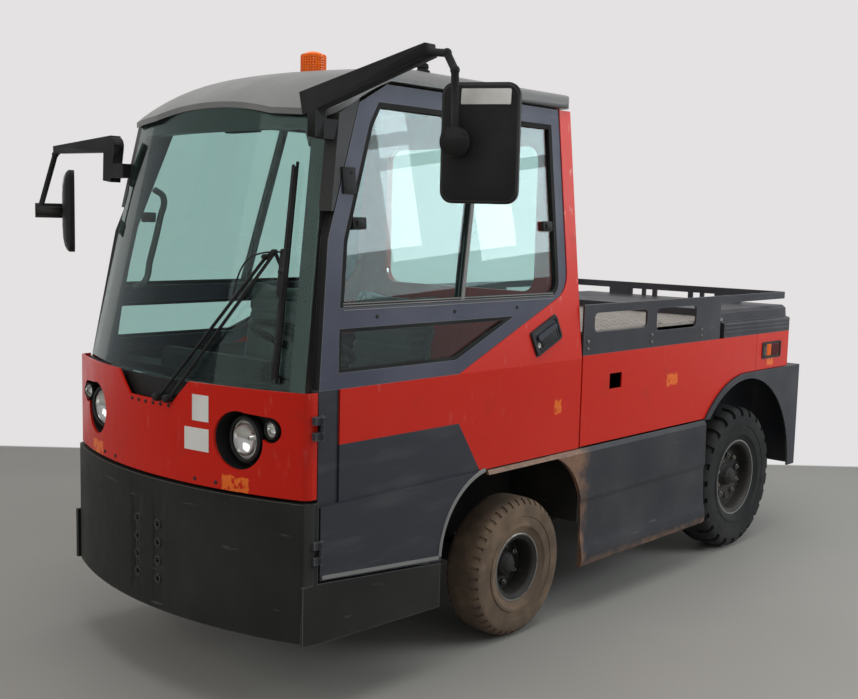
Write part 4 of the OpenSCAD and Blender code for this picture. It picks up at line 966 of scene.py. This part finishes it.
def window_rails(bm):
    for z, rise, out in ((1.303, 0.004, -0.0020), (1.311, 0.004, -0.0026), (1.291, 0.003, -0.0020)):
        block(bm, (0.372, -0.0140, up(z)), (1.478, out, up(z) + rise), 0.0008, SIDE, 1)
    mullion = [(x, up(z)) for x, z in [(0.8985, 1.308), (0.9155, 1.308), (0.7595, 1.950), (0.7425, 1.950)]]
    plate(bm, mullion, -0.0041, -0.0012, SIDE)


def window_latches(bm):
    for x, z in ((1.385, 1.565), (0.385, 1.568)):
        block(bm, (x - 0.030, -0.0155, up(z) - 0.019), (x + 0.030, -0.0020, up(z) + 0.019), 0.004, SIDE)
        block(bm, (x - 0.012, -0.0030, up(z) - 0.010), (x + 0.016, 0.0050, up(z) + 0.010), 0.003, SIDE)
    block(bm, (1.396, -0.0045, up(1.655)), (1.452, 0.0030, up(1.739)), 0.002, SIDE)
    for x, z in ((1.437, 1.672), (1.413, 1.722), (0.60, 1.268), (0.95, 1.268), (1.33, 1.268)):
        screw(bm, SIDE @ Vector((x, -0.0036 if z < 1.5 else 0.003, up(z))), OUTWARD, 0.0065)


HANDLE = SIDE @ Matrix.Translation((HANDLE_X, 0, up(HANDLE_Z))) @ Matrix.Rotation(HANDLE_TILT, 4, "Y")


def door_handle(bm):
    band(bm, soft_rectangle(0.174, 0.098, 0.014), 0.009, 0.0045, 0.0095, HANDLE)
    pocket = [(x - 0.004, z - 0.0125) for x, z in soft_rectangle(0.130, 0.050, 0.012)]
    band(bm, pocket, 0.006, 0.0045, 0.0080, HANDLE)
    block(bm, (-0.058, 0.0048, -0.030), (0.046, 0.0100, 0.000), 0.003, HANDLE)
    for x, z in ((-0.072, 0.036), (0.072, 0.036), (-0.072, -0.036), (0.072, -0.036)):
        screw(bm, HANDLE @ Vector((x, 0.0055, z)), OUTWARD, 0.005)


def handle_lock(bm):
    lathe(bm, [(0, 0.0035), (0.004, 0.0040), (0.0095, 0.0045), (0.0115, 0.003), (0.0115, -0.001)],
          HANDLE @ Vector((0.064, 0.0055, -0.012)), OUTWARD, 20)


per_side("window_seals", window_seals, black_rubber)
per_side("window_rails", window_rails, grey_plastic, slot="frame_paint")
per_side("window_latches", window_latches, black_plastic)
per_side("door_handle", door_handle, black_plastic)
per_side("handle_lock", handle_lock, bare_steel, slot="bare_steel")

# %% [markdown]
# A pale lip edges the wheel arch in the door's lower panel. It is a small profile spun through part of
# a turn about the centre of the arch, with a straight strip along the door's lower edge. The spin runs
# on the inner side first and is then mirrored about the door's face.

# %% Arch lips
ARCH = (0.748, 0.655, 0.405)


def arch_lip(bm):
    profile = [(0.2855, -0.010), (0.2855, 0.0035), (0.2925, 0.0042), (0.2990, 0.0030), (0.2995, -0.002)]
    foot = radians(3)
    lathe(bm, profile, ARCH, (0, -1, 0), 30, radians(76), start=(cos(foot), 0, sin(foot)))
    for vert in bm.verts:
        vert.co.y = 2 * ARCH[1] - vert.co.y
    plate(bm, [(1.046, 0.412), (1.590, 0.461), (1.590, 0.473), (1.046, 0.424)], 0.6545, 0.6585)


per_side("arch_lip", arch_lip, grey_plastic, slot="frame_paint")

# %% [markdown]
# ## Front
# Blank stickers, the screws along the notch and over the bumper, and washers round the bumper's bolt
# holes. The stickers follow the bowed panel. A flat plate would cut into it, so a grid is laid flat and
# each of its points is moved onto the bow.

# %% Front fittings
BOW_CENTRE, BUMPER_R, PANEL_R = 0.125, 1.660, 1.650


def bow(y, radius=PANEL_R):
    return BOW_CENTRE + sqrt(radius * radius - y * y)


# edges of two blank stickers: from y to y, from z to z
STICKERS = ((0.219, 0.290, 0.924, 1.009), (0.184, 0.291, 0.827, 0.901))
stickers = bmesh.new()
for y0, y1, z0, z1 in STICKERS:
    fit = Matrix.Translation((1.77, (y0 + y1) / 2, (z0 + z1) / 2)) @ Matrix.Diagonal((1, y1 - y0, z1 - z0, 1))
    fit = fit @ Matrix.Rotation(pi / 2, 4, "Y")
    made = bmesh.ops.create_grid(stickers, x_segments=8, y_segments=8, size=0.5, matrix=fit)["verts"]
    for vert in made:
        vert.co.x = bow(vert.co.y) + 0.0002
bmesh.ops.solidify(stickers, geom=stickers.faces[:], thickness=-0.0008)
keep("front_stickers", stickers, label_white)

SCREW, NOTCH_Z, LOW_ROW_Z, CORNER_BACK = 0.0065, 0.957, 0.735, 0.028
screws = bmesh.new()
for y in (-0.105, -0.063, -0.021, 0.021, 0.063, 0.105):
    screw(screws, (bow(y), y, NOTCH_Z), (1, 0, 0), SCREW)
for y in (-0.600, -0.32, -0.23, 0.23, 0.32, 0.600):
    back = CORNER_BACK if abs(y) > 0.5 else 0
    screw(screws, (bow(y) - back, y, LOW_ROW_Z), (1, 0, 0), SCREW)
keep("front_screws", screws, black_plastic)

BOLT_Y, BOLT_LOW, BOLT_PITCH = 0.058, 0.367, 0.062
WASHER = [(0.0092, -0.002), (0.0092, 0.0016), (0.0105, 0.0022), (0.0165, 0.0018), (0.0172, -0.002)]
washers = bmesh.new()
for y in (-BOLT_Y, BOLT_Y):
    for i in range(4):
        lathe(washers, WASHER, (bow(y, BUMPER_R) - 0.0002, y, BOLT_LOW + BOLT_PITCH * i), (1, 0, 0), 24)
keep("bumper_washers", washers, bumper_paint, slot="dark_paint")
print("front fittings made")

# %% [markdown]
# ## Windscreen
# The windscreen is a piece of a leaning cylinder and ends under the domed roof; a hoop of two posts and a
# header stands behind it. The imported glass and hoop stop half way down, so both are drawn whole here. A
# bent plate can't follow the dome, so the outline of an upright cut is worked out for each place across
# the sheet, and a face is extruded from each outline to the next.

# %% Windscreen and hoop
RAKE, SCREEN_R, SCREEN_X, SCREEN_FOOT = radians(12.8), 1.660, 1.740, 1.04
SCREEN_Z, SCREEN_TOP, SCREEN_HALF, SCREEN_PARTS = 1.0405, 1.955, 0.598, 16
GLASS, HOOP_FRONT, HOOP_BACK, POST_WIDTH = 0.006, -0.0069, -0.064, 0.050
HEADER_Z, HEADER_HALF, HEADER_ROUND = 1.860, 0.463, 0.060
DOME_X, DOME_FLAT, DOME_RUN, DOME_DROP, DOME_UNDER = 0.300, 0.850, 0.470, 0.207, 2.0685


def half_width(z):
    return SCREEN_HALF - max(0, z - WAIST) * tan(LEAN)


def screen_x(y, z, out):
    bowed = out - SCREEN_R + sqrt(SCREEN_R ** 2 - y * y)
    return SCREEN_X + bowed / cos(RAKE) - (z - SCREEN_FOOT) * tan(RAKE)


def ceiling(y_at, out, highest):
    """The height where a line up the screen meets the underside of the roof."""
    z = highest
    for _ in range(20):
        run = max(0, math.hypot(screen_x(y_at(z), z, out) - DOME_X, y_at(z)) - DOME_FLAT) / DOME_RUN
        z = min(highest, DOME_UNDER - DOME_DROP * run ** 2.13)
    return z


def screen_ring(y_at, low, front, back, highest=2.0, parts=14):
    """An outline up the front and down the back of a sheet; y_at and back are functions of the height."""
    ring = []
    for out, way in ((lambda z: front, 1), (back, -1)):
        top = ceiling(y_at, out(1.95), highest)
        rise = [low + (top - low) * i / parts for i in range(parts + 1)]
        ring += [(screen_x(y_at(z), z, out(z)), y_at(z), z) for z in rise[::way]]
    return ring


def loft(bm, rings):
    """Extrudes a face from the first outline through all the others, and opens the ones between."""
    face = bm.faces.new([bm.verts.new(point) for point in rings[0]])
    passed = []
    for ring in rings[1:]:
        passed.append(face)
        grown = bmesh.ops.extrude_face_region(bm, geom=[face])["geom"]
        face = only(bmesh.types.BMFace, grown)[0]
        for vert, point in zip(face.verts, ring):
            vert.co = point
    bmesh.ops.delete(bm, geom=passed[1:], context="FACES_ONLY")


screen = bmesh.new()
loft(screen, [screen_ring(lambda z: (i / SCREEN_PARTS - 1) * half_width(z), SCREEN_Z, 0.0, lambda z: -GLASS,
                          SCREEN_TOP) for i in range(2 * SCREEN_PARTS + 1)])
keep("windscreen", screen, screen_glass, slot="tinted_glass", stands_for=("cab_glass",))
rear_pane = bmesh.new()
plate(rear_pane, [(y, 1.5925 + z) for y, z in soft_rectangle(0.840, 0.585, 0.060)], -0.232, -0.226,
      Matrix.Rotation(pi / 2, 4, "Z"))
keep("rear_pane", rear_pane, green_glass, slot="tinted_glass", stands_for=("cab_glass",))

hoop = bmesh.new()
for side in (1, -1):
    loft(hoop, [screen_ring(lambda z: side * (half_width(z) - POST_WIDTH * i / 3), SCREEN_Z, HOOP_FRONT,
                            lambda z: HOOP_BACK) for i in range(4)])
    # the flange beside the glass grows with the height, as the door's edge falls back faster than the screen
    loft(hoop, [screen_ring(lambda z: side * (half_width(z) + 0.0008 + 0.042 * i / 3), 1.60, 0.0,
                            lambda z: -0.2 * (z - 1.555)) for i in range(4)])
    block(hoop, (0.245, side * 0.4705 - 0.025, 1.980), (1.120, side * 0.4705 + 0.025, 2.0245), 0.003)
header = []
for i in range(41):
    y = (i / 20 - 1) * HEADER_HALF
    inside = max(0, abs(y) - HEADER_HALF + HEADER_ROUND)
    low = HEADER_Z - HEADER_ROUND + sqrt(max(0, HEADER_ROUND ** 2 - inside ** 2))
    header.append(screen_ring(lambda z: y, low, HOOP_FRONT, lambda z: HOOP_BACK, parts=3))
loft(hoop, header)
keep("cab_hoop", hoop, pillar_paint, stands_for=("cab_frame",))
print("windscreen and hoop made")

# %% [markdown]
# ## Wiper
# The blade gets its rubber lip and a spine, the arms their pivots, and a thin washer hose arches from the
# lower arm to the blade. The hose's points come from one smooth arc.

# %% Wiper
SCREEN_OUT = Vector((cos(RAKE), 0, sin(RAKE)))


def on_screen(y, z, out):
    """A point before the windscreen, whose bow is close to a parabola."""
    return Vector((SCREEN_X - (z - SCREEN_FOOT) * tan(RAKE) - y * y / (2 * SCREEN_R) + out, y, z))


rubber = bmesh.new()
strut(rubber, on_screen(0.5135, 1.066, 0.005), on_screen(0.4455, 1.752, 0.005), 0.006, 0.009, SCREEN_OUT)
keep("wiper_lip", rubber, black_rubber)
spine = bmesh.new()
strut(spine, on_screen(0.5125, 1.076, 0.022), on_screen(0.4465, 1.742, 0.022), 0.012, 0.004, SCREEN_OUT)
strut(spine, on_screen(0.487, 1.33, 0.026), on_screen(0.472, 1.48, 0.026), 0.026, 0.010, SCREEN_OUT, 0.003)
for y, z in ((0.058, 0.982), (0.110, 0.982)):
    lathe(spine, [(0, 0.018), (0.008, 0.017), (0.013, 0.012), (0.0145, 0.004), (0.0145, -0.006)],
          on_screen(y, z, 0.030), (1, 0, 0), 20)
for y, z in ((0.41, 1.452), (0.44, 1.468), (0.4795, 1.409)):
    lathe(spine, [(0, 0.0155), (0.007, 0.014), (0.0095, 0.009), (0.0095, -0.004)],
          on_screen(y, z, 0.024), (1, 0, 0), 16)
keep("wiper_spine", spine, black_plastic)

HOSE_START, HOSE_END, HOSE_POINTS, HOSE_RADIUS = (0.318, 1.330), (0.470, 1.470), 24, 0.0028
HOSE_OUT, HOSE_BULGE = 0.032, (-0.030, 0.042, 0.014)
hose_path = []
for i in range(HOSE_POINTS):
    t = i / (HOSE_POINTS - 1)
    arc = sin(pi * t)
    y = HOSE_START[0] + (HOSE_END[0] - HOSE_START[0]) * t + HOSE_BULGE[0] * arc
    z = HOSE_START[1] + (HOSE_END[1] - HOSE_START[1]) * t + HOSE_BULGE[1] * arc
    hose_path.append(on_screen(y, z, HOSE_OUT + HOSE_BULGE[2] * arc))
hose_curve = tube_curve("washer_hose", hose_path, HOSE_RADIUS, smooth=False)
hose_curve.materials.append(black_rubber)
hose = put("washer_hose", hose_curve)
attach(hose, "chassis")

# %% [markdown]
# ## Deck
# The deck is checker plate: low lozenges in two directions. A bump could fake them, but seen along the
# deck they break the light, so they are real. One lozenge is a flattened four-sided cone; a spin without
# a turn, which only steps sideways, lays the rows.

# %% Checker plates
def lozenges(bm, x0, x1, turn, shift):
    pitch, rows = 0.046, 27
    count = int((x1 - x0 - 0.03) / pitch)
    start = Matrix.Translation((x0 + 0.024 + shift, -0.598 + shift, 1.1556)) @ Matrix.Rotation(turn, 4, "Z")
    made = bmesh.ops.create_cone(bm, cap_ends=True, segments=4, radius1=1, radius2=0.62, depth=0.0016,
                                 matrix=start @ Matrix.Diagonal((0.0155, 0.0052, 1, 1)))["verts"]
    before = set(bm.verts) - set(made)
    for step, steps in (((pitch, 0, 0), count - 1), ((0, pitch, 0), rows - 1)):
        row = [vert for vert in bm.verts if vert not in before]
        edges = list({edge for vert in row for edge in vert.link_edges})
        faces = list({face for vert in row for face in vert.link_faces})
        bmesh.ops.spin(bm, geom=row + edges + faces, cent=(0, 0, 0), axis=(0, 0, 1), dvec=step, angle=0,
                       steps=steps, use_duplicate=True)


checker = bmesh.new()
for x0, x1 in ((-0.957, -0.383), (-0.379, 0.196)):
    lozenges(checker, x0, x1, radians(45), 0.0)
    lozenges(checker, x0, x1, radians(-45), 0.023)
checker_piece = keep("deck_lozenges", checker, plate_metal, slot="checker_plate")
print("lozenge faces:", len(checker_piece.data.polygons))


def deck_bolts(bm):
    for x in (0.150, -0.330, -0.430, -0.880):
        screw(bm, (x, 0.612, 1.155), (0, 0, 1), 0.010, 0.004)
    for x in (0.168, -0.310, -0.740):
        for z in (1.085, 1.115):
            screw(bm, (x, 0.645, z), (0, 1, 0), 0.008, 0.005)


per_side("deck_bolts", deck_bolts, bare_steel, "chassis", "bare_steel")


def cover_steps(bm):
    for z in (1.078, 1.097, 1.116):
        block(bm, (-1.640, 0.640, z), (-0.975, 0.6475, z + 0.010), 0.0025)


per_side("cover_steps", cover_steps, rail_paint, "chassis", "dark_paint")

# %% [markdown]
# ## Roof and cab fittings
# A rubber knob on the roof's left edge, a grab handle on the right pillar, switches on the dashboard, a
# horn button and a column cover at the steering wheel, and two pedals. A bent tube is made with a curve
# whose bevel gives its thickness, and the curve is then turned into a mesh.

# %% Cab fittings
def evaluated_mesh(holder):
    """The mesh of an object as it is with its bevel or its modifiers applied."""
    return bpy.data.meshes.new_from_object(holder.evaluated_get(bpy.context.evaluated_depsgraph_get()))


def pipe(bm, points, radius):
    curve = tube_curve("path", points, radius, smooth=True)
    holder = put("path", curve)
    mesh = evaluated_mesh(holder)
    bm.from_mesh(mesh)
    bpy.data.objects.remove(holder)
    bpy.data.curves.remove(curve)
    bpy.data.meshes.remove(mesh)


handle = bmesh.new()
pipe(handle, [(1.497, -0.520, 1.300), (1.452, -0.512, 1.318), (1.430, -0.505, 1.400), (1.395, -0.490, 1.560),
              (1.385, -0.482, 1.640), (1.425, -0.480, 1.668)], 0.012)
keep("grab_handle", handle, grey_plastic)
knob = bmesh.new()
lathe(knob, [(0, 0.034), (0.010, 0.033), (0.018, 0.028), (0.021, 0.018), (0.018, 0.010), (0.024, 0.006),
             (0.026, 0.0), (0.026, -0.010)], (1.02, 0.505, 2.078), (0, 0, 1), 24)
keep("roof_knob", knob, black_rubber)

panel = bmesh.new()
block(panel, (1.428, 0.185, 1.058), (1.438, 0.265, 1.082), 0.002, Matrix(), 1)
for y in (-0.22, -0.14, -0.06, 0.02, 0.10):
    block(panel, (1.404, y - 0.018, 0.968), (1.413, y + 0.018, 0.992), 0.003)
for y in (0.205, 0.345):
    block(panel, (1.47, y, 0.452), (1.51, y + 0.085, 0.500), 0.006, Matrix(), 2)
    block(panel, (1.50, y + 0.034, 0.480), (1.58, y + 0.052, 0.500), 0.003)
keep("dash_switches", panel, grey_plastic)
column = Matrix.Translation((1.44, 0.31, 1.025)) @ Matrix.Rotation(-math.atan2(28, 60), 4, "Y")
horn = bmesh.new()
foot, along = column.to_translation(), column.to_3x3() @ Vector((0, 0, 1))
lathe(horn, [(0, 0.175), (0.020, 0.174), (0.034, 0.170), (0.040, 0.1655), (0.040, 0.160)], foot, along, 32)
lathe(horn, [(0.036, 0.010), (0.050, 0.012), (0.046, 0.060), (0.036, 0.110), (0.0305, 0.140),
             (0.0305, 0.010)], foot, along, 32)
keep("steering_trim", horn, cab_trim)
print("cab fittings made")

# %% [markdown]
# ## Seats
# Two padded seats stand on the cab's bench. Each pad starts as a rounded block a little smaller than its
# solid, gets an even skin of small faces by a voxel remesh, and is blown up as cloth for twenty frames. No
# point may move more than a cap. The sewn channels come afterwards, pressed in along the skin's normals.

# %% Seat cushions
PAD_CAP, PAD_GRID, PAD_PRESSURE, PAD_FRAMES = 0.022, 0.006, 4, 20


def swell(bm, name):
    """Remeshes a closed shape and blows it up as cloth; returns the mesh."""
    mesh = bpy.data.meshes.new(name)
    bm.to_mesh(mesh)
    bm.free()
    pad = put(name, mesh)
    remesh = pad.modifiers.new("remesh", "REMESH")
    remesh.mode = "VOXEL"
    remesh.voxel_size = PAD_GRID
    flat = evaluated_mesh(pad)
    pad.modifiers.clear()
    pad.data = flat
    blown = flat
    cloth = pad.modifiers.new("cloth", "CLOTH")
    cloth.settings.use_pressure = True
    cloth.settings.uniform_pressure_force = PAD_PRESSURE
    cloth.settings.effector_weights.gravity = 0
    cloth.point_cache.frame_start, cloth.point_cache.frame_end = 1, PAD_FRAMES
    for step in range(1, PAD_FRAMES + 1):
        scene.frame_set(step)
    blown = evaluated_mesh(pad)
    for before, after in zip(flat.vertices, blown.vertices):
        move = after.co - before.co
        if move.length > PAD_CAP:
            after.co = before.co + move.normalized() * PAD_CAP
    scene.frame_set(1)
    bpy.data.objects.remove(pad)
    return blown


def sew(mesh, lines):
    """Presses channels into a pad; each line is a direction, a distance along it, a depth and a width."""
    inward = [vert.normal.copy() for vert in mesh.vertices]
    for vert, normal in zip(mesh.vertices, inward):
        for direction, distance, depth, width in lines:
            off = (vert.co.dot(direction) - distance) / width
            vert.co -= normal * depth * math.exp(-off * off)


def seat_pad(name, mesh, flip):
    bm = bmesh.new()
    bm.from_mesh(mesh)
    piece = keep(name, bm, seat_cloth, slot="seat_cloth", flip=flip, sharp=180, stands_for=("seat_cushions",))
    smooth = piece.modifiers.new("smooth", "SUBSURF")
    smooth.levels = smooth.render_levels = 1


ALONG, ACROSS, UP = Vector((1, 0, 0)), Vector((0, 1, 0)), Vector((0, 0, 1))
base = bmesh.new()
block(base, (0.933, 0.110, 0.826), (1.298, 0.510, 0.920), 0.032, segments=4)
base = swell(base, "seat_pad")
sew(base, [(ALONG, 1.05, 0.006, 0.007), (ALONG, 1.13, 0.006, 0.007), (ALONG, 1.21, 0.006, 0.007),
           (ACROSS, 0.165, 0.006, 0.008), (ACROSS, 0.455, 0.006, 0.008)])
for vert in base.vertices:
    vert.co.z = min(max(vert.co.z, 0.8226), 0.9315 if vert.co.x < 1.05 else 0.9400)
back = bmesh.new()
plate(back, [(0.935, 0.950), (1.012, 0.950), (0.945, 1.316), (0.884, 1.316)], 0.110, 0.510)
bmesh.ops.bevel(back, geom=back.edges[:], offset=0.026, segments=4, profile=0.5, affect="EDGES", material=-1)
bmesh.ops.recalc_face_normals(back, faces=back.faces[:])
back = swell(back, "back_pad")
sew(back, [(UP, z, 0.007, 0.007) for z in (1.015, 1.075, 1.135, 1.195, 1.250)]
    + [(ACROSS, 0.160, 0.006, 0.008), (ACROSS, 0.460, 0.006, 0.008)])
for vert in back.vertices:
    vert.co.z = max(vert.co.z, 0.9330)
for side in ("left", "right"):
    seat_pad("seat_pad_" + side, base, side == "right")
    seat_pad("back_pad_" + side, back, side == "right")
print("seat pads:", len(base.vertices), "and", len(back.vertices), "points")

# %% [markdown]
# ## Last update
# The last cell brings the view layer up to date.

# %% Update the view layer
bpy.context.view_layer.update()
